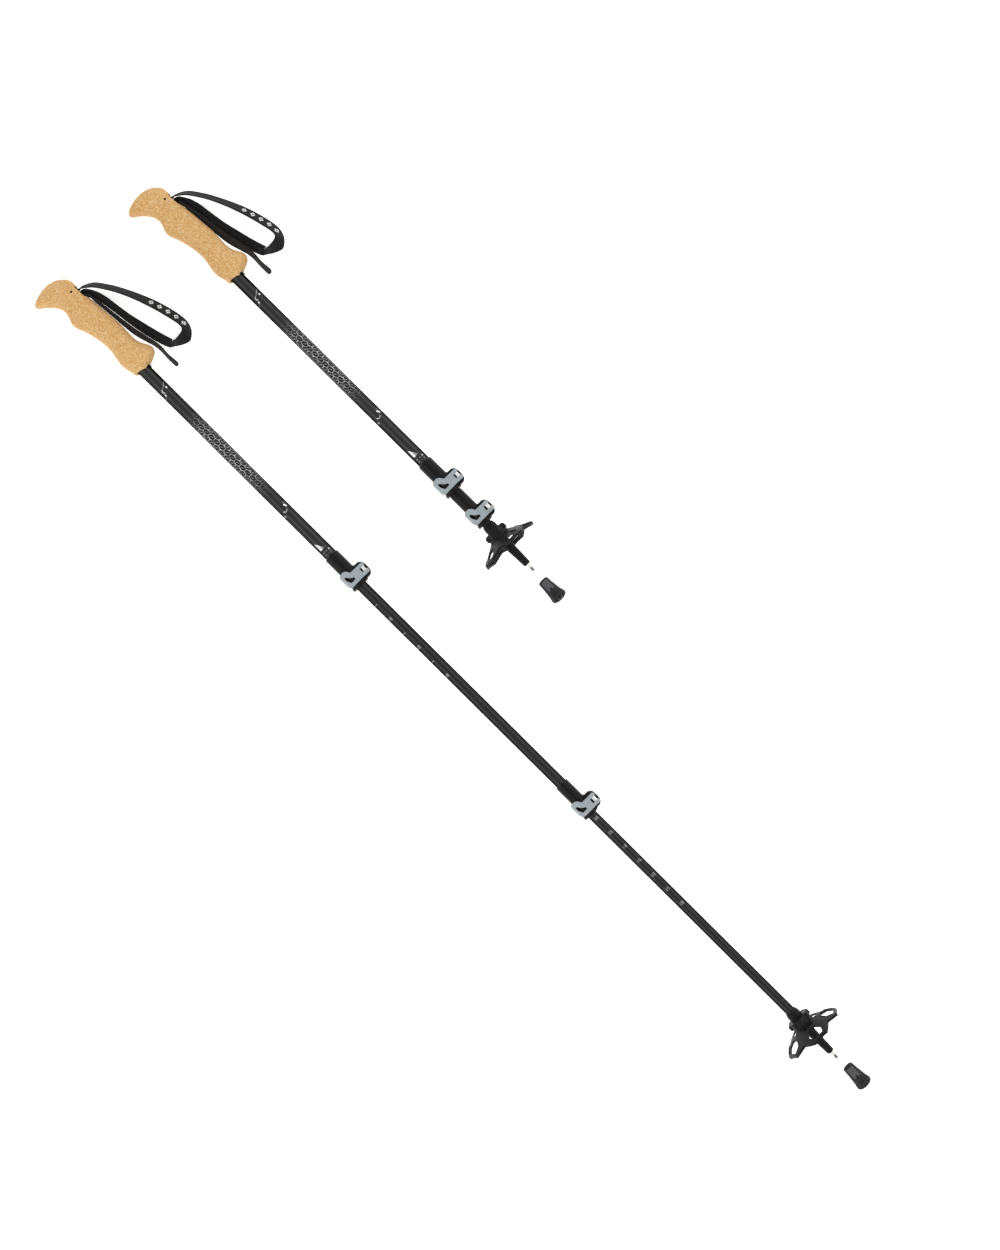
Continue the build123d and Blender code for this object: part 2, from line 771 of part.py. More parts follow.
# ---------------------------------------------------------------- layout
def stations(pole):
    """Places along one pole, from its drawn-out lengths."""
    middle = POLES[pole]["middle"]
    lower = middle + POLES[pole]["lower"]
    stowed_lower_clamp = UPPER_CLAMP_START + CLAMP_LENGTH + CLAMP_STOP_GAP
    first_guide = UPPER_TUBE_TOP + 2 + GUIDE_HEAD
    stowed_tip = stowed_lower_clamp + CLAMP_LENGTH + 2 - BOSS_START
    return {
        "upper_clamp": UPPER_CLAMP_START,
        "middle_start": first_guide + middle,
        "lower_clamp": stowed_lower_clamp + middle,
        "lower_start": first_guide + GUIDE_STEP + lower,
        "tip": stowed_tip + lower,
    }


def resting_corner(turn):
    """Depth below the axis, and radius, of the basket's corner nearest the ground."""
    turned = radians(turn)
    return max((-radius * cos(angle + turned), radius) for angle, radius in outline_corners())


def tilt_of(pole):
    """Angle of a resting pole, in degrees, its tip end up."""
    depth, radius = resting_corner(POLES[pole]["basket_turn"])
    slope = sin(radians(DISH_SLOPE)) / cos(radians(DISH_SLOPE))
    rim = stations(pole)["tip"] + DISH_START + (radius - DISH_ROOT_RADIUS) * slope
    rest_at, rest_depth = GRIP_REST
    return degrees(atan2(depth - rest_depth, rim - rest_at))


def make_pole(pole):
    """All pieces of one pole but the cap, in the pole's own frame."""
    at = stations(pole)
    pair = {
        "upper": (at["upper_clamp"], UPPER_TUBE_OD, MIDDLE_TUBE_OD),
        "lower": (at["lower_clamp"], MIDDLE_TUBE_OD, LOWER_TUBE_OD),
    }
    pieces = {
        "cork_grip": make_cork_grip(),
        "grip_core": make_grip_core(),
        "strap_pin": make_strap_pin(),
        "strap_wedge": make_strap_wedge(),
        "wrist_strap": make_wrist_strap(),
        "strap_pad": make_strap_pad(),
        "strap_tail": make_strap_tail(),
        "upper_tube": make_tube(
            UPPER_TUBE_OD, UPPER_TUBE_TOP, at["upper_clamp"] + TUBE_IN_COLLAR
        ),
        "middle_tube": make_tube(
            MIDDLE_TUBE_OD, at["middle_start"], at["lower_clamp"] + TUBE_IN_COLLAR
        ),
        "lower_tube": make_tube(
            LOWER_TUBE_OD, at["lower_start"], at["tip"] + LOWER_TUBE_END
        ),
        "middle_tube_guide": make_tube_guide(
            MIDDLE_TUBE_OD, UPPER_TUBE_OD, at["middle_start"]
        ),
        "lower_tube_guide": make_tube_guide(
            LOWER_TUBE_OD, MIDDLE_TUBE_OD, at["lower_start"]
        ),
        "tip_ferrule": make_tip_ferrule(at["tip"]),
        "tip_shank": make_tip_shank(at["tip"]),
        "carbide_tip": make_carbide_tip(at["tip"]),
        "basket": make_basket(at["tip"], POLES[pole]["basket_turn"]),
    }
    for side, sizes in pair.items():
        pieces[f"{side}_clamp"] = make_clamp(*sizes)
        pieces[f"{side}_clamp_shim"] = make_clamp_shim(*sizes)
        pieces[f"{side}_clamp_lever"] = make_clamp_lever(*sizes)
        pieces[f"{side}_clamp_barrel"] = make_clamp_barrel(*sizes)
        pieces[f"{side}_clamp_screw"] = make_clamp_screw(*sizes)
    return pieces


def lay_down(pole, pieces):
    """Where a pole's own frame goes so that its lowest point is on the ground."""
    tilt = Rot(0, -tilt_of(pole), 0)
    lowest = min((tilt * piece).bounding_box().min.Z for piece in pieces.values())
    return Pos(POLES[pole]["start"], POLES[pole]["y"], -lowest) * tilt


def lay_cap(pole):
    """Where a cap's own frame goes: on the ground beyond the tip, on its side."""
    rise = CAP_FLARE_RADIUS - CAP_MOUTH_RADIUS
    lean = degrees(atan2(rise, CAP_FLARE_AT + 0.6 - 1.2))
    x = POLES[pole]["start"] + stations(pole)["tip"] * cos(radians(tilt_of(pole)))
    turned = Rot(0, -lean, 0) * make_rubber_cap()
    lift = -turned.bounding_box().min.Z
    return Pos(x + POLES[pole]["cap_gap"], POLES[pole]["y"], lift) * Rot(0, -lean, 0)


def build():
    """Every node of the pair, in its place, by name."""
    nodes = {}
    for pole in POLES:
        pieces = make_pole(pole)
        place = lay_down(pole, pieces)
        for name, piece in pieces.items():
            nodes[f"{pole}_{name}"] = place * piece
        cap_place = lay_cap(pole)
        nodes[f"{pole}_rubber_cap"] = cap_place * make_rubber_cap()
        nodes[f"{pole}_cap_washer"] = cap_place * make_cap_washer()
    lows = [node.bounding_box().min for node in nodes.values()]
    highs = [node.bounding_box().max for node in nodes.values()]
    middle_x = (min(low.X for low in lows) + max(high.X for high in highs)) / 2
    middle_y = (min(low.Y for low in lows) + max(high.Y for high in highs)) / 2
    return {name: Pos(-middle_x, -middle_y, 0) * node for name, node in nodes.items()}


def main():
    os.makedirs("parts", exist_ok=True)
    for name, node in build().items():
        export_step(node, f"parts/{name}.step")
        print(name, round(node.volume), node.is_valid)


if __name__ == "__main__":
    main()
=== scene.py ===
"""Straps, finishes and studio for a pair of trekking poles.

The file is laid out as an add-on and run as a script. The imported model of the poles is
the fixed frame. Pieces that the frame only holds the room for, such as the webbing, are
modelled here, and every part gets its finish.
"""

import json
import math

import bmesh
import bpy
from bpy.props import FloatProperty, FloatVectorProperty, PointerProperty
from mathutils import Matrix, Vector


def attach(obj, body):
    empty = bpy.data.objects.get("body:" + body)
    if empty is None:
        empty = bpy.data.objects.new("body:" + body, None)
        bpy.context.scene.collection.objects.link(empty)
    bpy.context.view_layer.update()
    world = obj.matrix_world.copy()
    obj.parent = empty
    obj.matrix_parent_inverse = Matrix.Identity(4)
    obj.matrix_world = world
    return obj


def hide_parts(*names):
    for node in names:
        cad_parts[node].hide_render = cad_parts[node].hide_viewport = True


bl_info = {
    "name": "Trekking pole pair",
    "version": (1, 0, 0),
    "blender": (4, 5, 0),
    "location": "3D View > Sidebar > Trekking poles",
    "description": "Straps, printed marks and finishes for a pair of trekking poles",
    "category": "Object",
}

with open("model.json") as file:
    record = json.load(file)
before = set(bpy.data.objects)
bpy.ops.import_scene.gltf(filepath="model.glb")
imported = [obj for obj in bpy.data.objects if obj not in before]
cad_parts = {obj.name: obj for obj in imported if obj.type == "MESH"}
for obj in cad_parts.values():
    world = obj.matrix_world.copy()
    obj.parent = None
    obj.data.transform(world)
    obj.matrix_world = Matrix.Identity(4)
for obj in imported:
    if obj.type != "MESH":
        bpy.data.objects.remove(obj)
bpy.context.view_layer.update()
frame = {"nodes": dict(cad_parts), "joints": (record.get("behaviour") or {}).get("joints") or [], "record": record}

MM = 0.001  # a millimetre in metres
PER_METRE = 1000.0  # millimetres in a metre
POLES = ("extended", "stowed")
# Each tube's scale: where it starts on the drawn-out pole, the tube's radius, where the
# scale stands round it and its pitch, in mm, then its numbers, and whether lines stand
# between them.
SCALES = {
    "middle_tube": (543.5, 7.0, -5.0, 47.0, (110, 120, 130), True),
    "lower_tube": (891.0, 6.0, 0.0, 23.4, (100, 105, 110, 115, 120, 125, 130), False),
}
SCALE_LINE = (0.7, 4.2)  # a line's size along the tube and round it, in mm
# How much nearer the grip each scale stands on the stowed pole, in mm.
JOINT_TRAVEL = {"middle_tube": 330.0, "lower_tube": 655.0}
JOINTS = {joint["name"]: joint for joint in frame["joints"]}
STRAP_PIN = (29.2, 5.1, 0.0)  # the pin's place in a pole's own frame, in mm


def pole_place(pole):
    """Matrix from a pole's own frame, X along it from the grip's top, to the pair's."""
    along = Vector(JOINTS[f"{pole}_middle_slide"]["axis"]).normalized()
    side = Vector((0.0, 1.0, 0.0))
    turn = Matrix((along, side, along.cross(side))).transposed()
    pin = Vector(JOINTS[f"{pole}_strap_hinge"]["pos_m"])
    place = turn.to_4x4()
    place.translation = pin - turn @ (Vector(STRAP_PIN) * MM)
    return place


PLACES = {pole: pole_place(pole) for pole in POLES}


def cap_place(pole):
    """Matrix from a rubber cap's own frame, X inwards from its mouth, to the pair's."""
    bore = next(mount for mount in frame["record"]["mounts"] if mount["name"] == f"{pole}_cap_bore")
    inwards = -Vector(bore["axis"]).normalized()
    side = Vector((0.0, 1.0, 0.0))
    place = Matrix((inwards, side, inwards.cross(side))).transposed().to_4x4()
    depth = bore["dims"]["length_mm"] * MM
    place.translation = Vector(bore["pos_m"]) - inwards * (depth / 2)
    return place


# ------------------------------------------------------------------ sizes and colours
class StrapSizes(bpy.types.PropertyGroup):
    """Sizes of the wrist straps."""

    webbing_width: FloatProperty(
        name="Webbing width",
        description="Width of the strap's webbing",
        default=0.0155,
        unit="LENGTH",
    )
    webbing_thickness: FloatProperty(
        name="Webbing thickness",
        description="Thickness of the strap's webbing",
        default=0.0017,
        unit="LENGTH",
    )
    pad_width: FloatProperty(
        name="Pad width", description="Width of the padded run", default=0.0195, unit="LENGTH"
    )
    pad_thickness: FloatProperty(
        name="Pad thickness",
        description="Thickness of the padded run at its middle",
        default=0.0042,
        unit="LENGTH",
    )
    droop: FloatProperty(
        name="Droop",
        description="How far the loop's far end hangs below its root",
        default=0.003,
        unit="LENGTH",
    )


class FinishColours(bpy.types.PropertyGroup):
    """Main colours of the pair."""

    cork: FloatVectorProperty(
        name="Cork",
        description="Middle tone of the cork",
        default=(0.578, 0.340, 0.125),
        subtype="COLOR",
    )
    webbing: FloatVectorProperty(
        name="Webbing",
        description="Yarn of the straps",
        default=(0.0085, 0.008, 0.0085),
        subtype="COLOR",
    )
    lever: FloatVectorProperty(
        name="Lever",
        description="Lacquer of the clamp levers",
        default=(0.264, 0.293, 0.312),
        subtype="COLOR",
    )
    lacquer: FloatVectorProperty(
        name="Tube",
        description="Coat of the tubes",
        default=(0.0360, 0.0345, 0.0355),
        subtype="COLOR",
    )
    nylon: FloatVectorProperty(
        name="Nylon",
        description="Black moulded parts",
        default=(0.0050, 0.0043, 0.0043),
        subtype="COLOR",
    )
    rubber: FloatVectorProperty(
        name="Rubber", description="Tip caps", default=(0.0165, 0.0165, 0.0178), subtype="COLOR"
    )


class StudioSizes(bpy.types.PropertyGroup):
    """Camera, light and floor."""

    camera_height: FloatProperty(
        name="Camera height", description="Camera above the floor", default=2.085, unit="LENGTH"
    )
    lens: FloatProperty(name="Lens", description="Focal length in mm", default=50.35)
    turn: FloatProperty(
        name="Turn",
        description="Turn of the picture about the vertical",
        default=math.radians(44.745),
        subtype="ANGLE",
    )
    aim_x: FloatProperty(
        name="Aim X",
        description="Where the camera looks, along the poles",
        default=-0.0155,
        unit="LENGTH",
    )
    aim_y: FloatProperty(
        name="Aim Y",
        description="Where the camera looks, across the poles",
        default=-0.0142,
        unit="LENGTH",
    )
    floor: FloatProperty(
        name="Floor", description="Side of the floor", default=30.0, unit="LENGTH"
    )
    strips: FloatProperty(
        name="Strip lights", description="Power of each long light", default=21.0
    )
    sky: FloatProperty(
        name="Surrounding light",
        description="Strength of the light from all round",
        default=0.98,
    )


# ------------------------------------------------------------------ nodes
def put(tree, kind, feeds=None, **settings):
    """Add a shader node. feeds maps an input's name or number to a value or a socket."""
    made = tree.nodes.new("ShaderNode" + kind)
    for name, value in settings.items():
        setattr(made, name, value)
    for key, value in (feeds or {}).items():
        socket = made.inputs[key]
        if isinstance(value, bpy.types.NodeSocket):
            tree.links.new(value, socket)
        else:
            socket.default_value = value
    return made


def calc(tree, operation, *values):
    """One step of arithmetic on numbers."""
    return put(tree, "Math", dict(enumerate(values)), operation=operation).outputs[0]


def times(tree, *values):
    """Product of two or more numbers."""
    product = values[0]
    for value in values[1:]:
        product = calc(tree, "MULTIPLY", product, value)
    return product


def plus(tree, *values):
    """Sum of two or more numbers."""
    total = values[0]
    for value in values[1:]:
        total = calc(tree, "ADD", total, value)
    return total


def minus(tree, value, less):
    return calc(tree, "SUBTRACT", value, less)


def larger(tree, *values):
    """Largest of two or more numbers."""
    largest = values[0]
    for value in values[1:]:
        largest = calc(tree, "MAXIMUM", largest, value)
    return largest


def distance(tree, value, middle=None):
    """How far a number is from middle, or from zero."""
    return calc(tree, "ABSOLUTE", value if middle is None else minus(tree, value, middle))


def wave(tree, value, length):
    """Sine of a number that repeats after length."""
    return calc(tree, "SINE", times(tree, value, 2 * math.pi / length))


def calc3(tree, operation, *values):
    """One step of arithmetic on vectors."""
    made = put(tree, "VectorMath", dict(enumerate(values)), operation=operation)
    return made.outputs["Value" if operation == "DOT_PRODUCT" else "Vector"]


def toned(colour, shares):
    """Colour with each channel multiplied by its own share."""
    return tuple(channel * share for channel, share in zip(colour, shares))


def tinted(colour, factor):
    """Colour made paler or darker by a factor."""
    return tuple(min(1.0, channel * factor) for channel in colour)


def tones(tree, value, *stops):
    """Colours along a value, from (place, (r, g, b)) stops."""
    ramp = put(tree, "ValToRGB", {0: value})
    elements = ramp.color_ramp.elements
    while len(elements) < len(stops):
        elements.new(1.0)
    for element, (place, colour) in zip(elements, stops):
        element.position = place
        element.color = (*colour, 1.0)
    return ramp.outputs["Color"]


def shades(tree, value, colour, *stops):
    """One colour made paler or darker along a value, from (place, factor) stops."""
    return tones(tree, value, *((place, tinted(colour, factor)) for place, factor in stops))


def step(tree, value, low, high):
    """0 below low, 1 above high and a smooth rise between."""
    return put(
        tree,
        "MapRange",
        {"Value": value, "From Min": low, "From Max": high},
        interpolation_type="SMOOTHSTEP",
    ).outputs[0]


def spread(tree, value, low, high, start=0.0, end=1.0):
    """Number from start to end spread evenly over low to high."""
    feeds = {"Value": value, "From Min": start, "From Max": end, "To Min": low, "To Max": high}
    return put(tree, "MapRange", feeds).outputs[0]


def within(tree, value, low, high, soft):
    """1 between low and high, with soft edges."""
    rise = step(tree, value, low - soft, low + soft)
    fall = step(tree, value, high + soft, high - soft)
    return times(tree, rise, fall)


def lay_over(tree, share, under, over):
    """Colour over laid on colour under by share."""
    feeds = {0: share}
    for key, colour in ((6, under), (7, over)):
        plain = not isinstance(colour, bpy.types.NodeSocket)
        feeds[key] = (*colour, 1.0) if plain else colour
    return put(tree, "Mix", feeds, data_type="RGBA", clamp_factor=True).outputs[2]


def relief(tree, height, depth, under=None):
    """Surface normal of a height from 0 to 1 that stands for depth metres."""
    feeds = {"Strength": 1.0, "Distance": depth, "Height": height}
    if under is not None:
        feeds["Normal"] = under
    return put(tree, "Bump", feeds).outputs[0]


def grain(tree, where, scale, detail=4.0, roughness=0.55):
    """Noise from 0 to 1."""
    feeds = {"Vector": where, "Scale": scale, "Detail": detail, "Roughness": roughness}
    return put(tree, "TexNoise", feeds).outputs[0]


def new_finish(name, **own):
    """Material with a Principled shader; own gives the shader's own sockets."""
    finish = bpy.data.materials.new(name)
    finish.use_nodes = True
    tree = finish.node_tree
    shader = tree.nodes["Principled BSDF"]
    for key, value in own.items():
        shader.inputs[key.replace("_", " ")].default_value = value
    return finish, tree, shader


def feed(tree, shader, colour=None, roughness=None, normal=None):
    """Link a finish's varying values to its shader."""
    for key, socket in (("Base Color", colour), ("Roughness", roughness), ("Normal", normal)):
        if socket is not None:
            tree.links.new(socket, shader.inputs[key])


def object_space(tree):
    """Coordinates of the pair, in metres."""
    return put(tree, "TexCoord").outputs["Object"]


def frame_space(tree, home):
    """Coordinates in the frame that home places, in millimetres: along, side and up."""
    back = home.inverted()
    place = put(
        tree,
        "Mapping",
        {
            "Vector": object_space(tree),
            "Location": back.translation,
            "Rotation": back.to_euler("XYZ"),
        },
        vector_type="POINT",
    )
    split = put(tree, "SeparateXYZ", {0: place.outputs[0]})
    return [times(tree, split.outputs[axis], PER_METRE) for axis in range(3)]


def strip_space(tree):
    """Place along a band and across it from its middle, in millimetres."""
    strip = put(tree, "UVMap", None, uv_map="strip").outputs[0]
    split = put(tree, "SeparateXYZ", {0: strip})
    return [times(tree, split.outputs[axis], PER_METRE) for axis in range(2)]


# ------------------------------------------------------------------ finishes
# Granule tones, from dark to pale: place on the ramp and shares of the cork's middle tone.
CORK_TONES = (
    (0.16, (0.74, 0.62, 0.50)),
    (0.38, (0.93, 0.88, 0.80)),
    (0.58, (1.0, 1.0, 1.0)),
    (0.76, (1.07, 1.18, 1.45)),
    (0.90, (1.20, 1.52, 2.45)),
)
CORK_SEAM, CORK_PIT = (0.30, 0.15, 0.05), (0.12, 0.055, 0.02)
GRANULES, SPECKS, PORES = 780.0, 1700.0, 1150.0  # how many stand in a metre of cork


def cork_finish(colours):
    """Sanded cork granules, cream to brown, with pores and darker joints."""
    finish, tree, shader = new_finish("cork", Roughness=0.82, Specular_IOR_Level=0.32)
    where = object_space(tree)
    warp = put(tree, "TexNoise", {"Vector": where, "Scale": 260.0, "Detail": 2.0}).outputs["Color"]
    warp = calc3(tree, "SUBTRACT", warp, (0.5, 0.5, 0.5))
    warp = put(tree, "VectorMath", {0: warp, "Scale": 0.0012}, operation="SCALE").outputs[0]
    bent = calc3(tree, "ADD", where, warp)
    granules = {"Vector": bent, "Scale": GRANULES}
    coarse = put(tree, "TexVoronoi", granules)
    fine = put(tree, "TexVoronoi", {"Vector": bent, "Scale": SPECKS})
    joint = put(tree, "TexVoronoi", granules, feature="DISTANCE_TO_EDGE").outputs[0]
    tone = put(tree, "SeparateColor", {0: coarse.outputs["Color"]}).outputs[0]
    speck = put(tree, "SeparateColor", {0: fine.outputs["Color"]}).outputs[1]
    cloud = grain(tree, where, 55.0, 3.0)
    value = plus(
        tree,
        times(tree, tone, 0.55),
        times(tree, speck, 0.30),
        times(tree, cloud, 0.30),
    )
    middle = tuple(colours.cork)
    stops = [(place, toned(middle, shares)) for place, shares in CORK_TONES]
    colour = tones(tree, value, *stops)
    seam = step(tree, joint, 0.16, 0.02)
    colour = lay_over(tree, times(tree, seam, 0.30), colour, CORK_SEAM)
    pores = put(tree, "TexVoronoi", {"Vector": bent, "Scale": PORES})
    rare = put(tree, "SeparateColor", {0: pores.outputs["Color"]}).outputs[2]
    hole = step(tree, pores.outputs["Distance"], 0.34, 0.16)
    pit = times(tree, step(tree, rare, 0.93, 0.95), hole)
    colour = lay_over(tree, times(tree, pit, 0.75), colour, CORK_PIT)
    height = minus(tree, times(tree, speck, 0.25), times(tree, seam, 0.35))
    height = minus(tree, height, pit)
    feed(tree, shader, colour, None, relief(tree, height, 0.00022))
    return finish


def nylon_finish(name, colour, roughness, pit=0.00004, scale=1400.0, shine=0.16, ribs=0.0):
    """Black moulded plastic with a spark-eroded texture, light rub marks and fine ribs."""
    finish, tree, shader = new_finish(name, Roughness=roughness, Specular_IOR_Level=shine)
    where = object_space(tree)
    rough = grain(tree, where, scale, 3.0)
    wear = grain(tree, where, 90.0, 5.0, 0.65)
    shade = shades(tree, wear, colour, (0.32, 0.8), (0.62, 1.0), (0.80, 1.5))
    gloss = spread(tree, wear, roughness - 0.06, roughness + 0.10)
    normal = relief(tree, rough, pit)
    if ribs:
        along = put(tree, "SeparateXYZ", {0: where}).outputs[0]
        rib = step(tree, wave(tree, along, ribs), -0.2, 0.75)
        shade = lay_over(tree, times(tree, rib, 0.5), shade, tinted(colour, 2.6))
        normal = relief(tree, rib, 0.0003, normal)
    feed(tree, shader, shade, gloss, normal)
    return finish


# A cap's moulded details, from its mouth along it and from its middle across it, in mm.
CAP_PANEL, CAP_PANEL_WIDTH, CAP_RIB = (2.6, 16.4), (-4.2, 4.2), 1.55
CAP_NOTCH, CAP_NOTCH_WIDTH = (14.2, 18.0), (-1.5, 1.1)
CAP_LINE = (22.9, 23.8)


def cap_finish(colours, pole):
    """Moulded rubber with a paler ribbed panel, and a wear notch and a line round the foot that are sunk and
    painted near black as painted shade.
    """
    colour = tuple(colours.rubber)
    finish, tree, shader = new_finish(f"cap_rubber_{pole}", Roughness=0.66, Specular_IOR_Level=0.2)
    along, side, up = frame_space(tree, cap_place(pole))
    rough = grain(tree, object_space(tree), 900.0, 3.0)
    wear = grain(tree, object_space(tree), 120.0, 4.0)
    shade = shades(tree, wear, colour, (0.32, 0.8), (0.62, 1.0), (0.80, 1.4))
    top = step(tree, up, -0.5, 0.5)
    panel = times(
        tree,
        within(tree, along, *CAP_PANEL, 0.25),
        within(tree, side, *CAP_PANEL_WIDTH, 0.3),
        top,
    )
    ribs = step(tree, wave(tree, along, CAP_RIB), -0.6, 0.6)
    shade = lay_over(tree, times(tree, panel, 0.8), shade, tinted(colour, 4.4))
    shade = lay_over(tree, times(tree, panel, ribs, 0.7), shade, tinted(colour, 6.6))
    notch = times(
        tree,
        within(tree, along, *CAP_NOTCH, 0.2),
        within(tree, side, *CAP_NOTCH_WIDTH, 0.2),
        top,
    )
    # The notch and the line round the foot are painted near black: painted shade in their recesses.
    dark = larger(tree, notch, within(tree, along, *CAP_LINE, 0.25))
    shade = lay_over(tree, times(tree, dark, 0.85), shade, tinted(colour, 0.2))
    height = plus(tree, times(tree, panel, ribs, 0.6), times(tree, panel, 0.4))
    skin = relief(tree, rough, 0.00009)
    feed(tree, shader, shade, None, relief(tree, minus(tree, height, dark), 0.0004, skin))
    return finish


def lever_finish(colours):
    """Light grey lacquer with a fine orange peel and a faint cloudy tone."""
    finish, tree, shader = new_finish("lever_lacquer", Roughness=0.4, Specular_IOR_Level=0.35)
    where = object_space(tree)
    peel = grain(tree, where, 1100.0, 2.0)
    cloud = grain(tree, where, 130.0, 4.0)
    colour = tuple(colours.lever)
    shade = shades(tree, cloud, colour, (0.3, 0.90), (0.6, 1.0), (0.8, 1.08))
    gloss = spread(tree, cloud, 0.28, 0.48)
    feed(tree, shader, shade, gloss, relief(tree, peel, 0.00003))
    return finish


def metal_finish(name, colour, roughness, lines=0.00002):
    """Turned metal: fine lines round the pole's axis."""
    finish, tree, shader = new_finish(name, Metallic=1.0, Roughness=roughness)
    where = object_space(tree)
    stretched = put(tree, "Mapping", {"Vector": where, "Scale": (1.0, 0.04, 0.04)}).outputs[0]
    lathe = grain(tree, stretched, 5200.0, 2.0)
    cloud = grain(tree, where, 300.0, 3.0)
    shade = shades(tree, cloud, colour, (0.25, 0.82), (0.7, 1.0))
    gloss = spread(tree, lathe, roughness - 0.07, roughness + 0.12)
    feed(tree, shader, shade, gloss, relief(tree, lathe, lines))
    return finish


# Anodised metal that darkens towards a tube's sides.
TUBE_SHEEN = {"Metallic": 1.0, "Specular_Tint": (0.12, 0.12, 0.12, 1.0)}
LOWER_TUBE_DEPTH = 0.8  # how dark the two thinner tubes are beside the upper one


def tube_base(tree, colours, pole, depth=1.0):
    """Satin coat drawn along the tube: colour, roughness, normal and pole coordinates."""
    along, side, up = frame_space(tree, PLACES[pole])
    flat = put(tree, "CombineXYZ", {0: times(tree, along, 0.02), 1: side, 2: up}).outputs[0]
    drawn = grain(tree, flat, 1.6, 4.0, 0.6)
    dust = grain(tree, object_space(tree), 1500.0, 2.0)
    colour = tinted(tuple(colours.lacquer), depth)
    shade = shades(tree, drawn, colour, (0.30, 0.82), (0.55, 1.0), (0.78, 1.28))
    gloss = spread(tree, drawn, 0.30, 0.42)
    return shade, gloss, relief(tree, dust, 0.000012), along, side, up


def arc(tree, side, up, radius):
    """Distance round a tube from its top, in millimetres."""
    return times(tree, calc(tree, "ARCTAN2", side, up), radius)


def spot(tree, along, around, at, length, width, turn=0.0, soft=0.25):
    """Small printed bar: its middle, size and turn, in millimetres and degrees."""
    c, s = math.cos(math.radians(turn)), math.sin(math.radians(turn))
    x = minus(tree, along, at[0])
    y = minus(tree, around, at[1])
    down = distance(tree, plus(tree, times(tree, x, c), times(tree, y, s)))
    over = distance(tree, minus(tree, times(tree, y, c), times(tree, x, s)))
    return times(
        tree,
        step(tree, down, length / 2 + soft, length / 2 - soft),
        step(tree, over, width / 2 + soft, width / 2 - soft),
    )


def honeycomb(tree, along, around, pitch, rows):
    """Light net of six-sided cells, with a slash in each, on a tube."""
    tall = math.sqrt(3.0)
    count, row = times(tree, along, 1.0 / pitch), times(tree, around, tall / (2 * rows))
    place = put(tree, "CombineXYZ", {0: count, 1: row}).outputs[0]
    size = (1.0, tall, 1.0)
    half = (0.5, tall / 2, 0.0)
    # A hundred whole cells further on, so that no place is below zero.
    place = calc3(tree, "ADD", place, (100.0, 100.0 * tall, 0.0))
    first = calc3(tree, "SUBTRACT", calc3(tree, "MODULO", place, size), half)
    moved = calc3(tree, "ADD", place, half)
    second = calc3(tree, "SUBTRACT", calc3(tree, "MODULO", moved, size), half)
    nearer = calc(
        tree,
        "LESS_THAN",
        calc3(tree, "DOT_PRODUCT", first, first),
        calc3(tree, "DOT_PRODUCT", second, second),
    )
    cell = put(tree, "Mix", {0: nearer, 4: second, 5: first}, data_type="VECTOR").outputs[1]
    fold = calc3(tree, "ABSOLUTE", cell)
    slanted = calc3(tree, "DOT_PRODUCT", fold, (0.5, tall / 2, 0.0))
    straight = put(tree, "SeparateXYZ", {0: fold}).outputs[0]
    edge = minus(tree, 0.5, larger(tree, slanted, straight))
    net = step(tree, edge, 0.085, 0.035)
    off = distance(tree, calc3(tree, "DOT_PRODUCT", cell, (0.62, -0.78, 0.0)))
    run = distance(tree, calc3(tree, "DOT_PRODUCT", cell, (0.78, 0.62, 0.0)))
    slash = times(tree, step(tree, off, 0.085, 0.035), step(tree, run, 0.30, 0.20))
    return larger(tree, net, slash)


# What is printed on the upper tube: places along it from the grip's top and round it from
# its highest line, in mm, and turns in degrees.
UPPER_TUBE_RADIUS = 8.0
NET_PITCH, NET_ROWS = 8.6, 5.0
NET_FADES_IN, NET_FADES_OUT = (226.0, 256.0), (364.0, 326.0)
WEDGE_TIP, WEDGE_END, WEDGE_SIDE, WEDGE_SLOPE = 443.5, 452.9, -6.2, 0.62
WEDGE_GLOW = (1.5, -3.4)  # from its dull edge to its bright one
# (middle), length, width, turn and strength of each splash and dot
SPLASHES = (
    ((181.5, 4.6), 6.0, 0.8, -48, 0.45),
    ((184.2, 1.2), 4.6, 0.9, -52, 0.40),
    ((186.6, 4.4), 2.2, 2.0, 20, 0.90),
    ((186.6, -2.6), 3.0, 1.1, -50, 0.75),
    ((189.6, -2.9), 3.6, 1.3, 35, 0.62),
    ((193.4, -3.6), 2.6, 1.5, 0, 0.80),
    ((196.0, -6.4), 3.0, 1.0, -40, 0.35),
    ((380.4, 5.6), 2.0, 0.8, -50, 0.40),
    ((384.4, 4.4), 4.4, 2.2, 28, 0.95),
    ((390.2, 1.0), 3.6, 0.9, -50, 0.85),
    ((390.2, -1.9), 3.6, 0.9, 48, 0.85),
    ((394.2, -6.2), 3.6, 2.4, 35, 0.40),
    ((456.9, 4.6), 1.7, 1.7, 0, 0.85),
    ((456.9, 0.2), 1.3, 1.3, 0, 0.45),
    ((456.9, -4.6), 1.3, 1.3, 0, 0.40),
    ((460.6, 4.2), 1.0, 1.0, 0, 0.50),
    ((460.6, 0.0), 0.8, 0.8, 0, 0.35),
    ((460.6, -4.4), 1.0, 1.0, 0, 0.50),
)
INK, SCALE_INK = (0.60, 0.60, 0.60), (0.50, 0.50, 0.50)


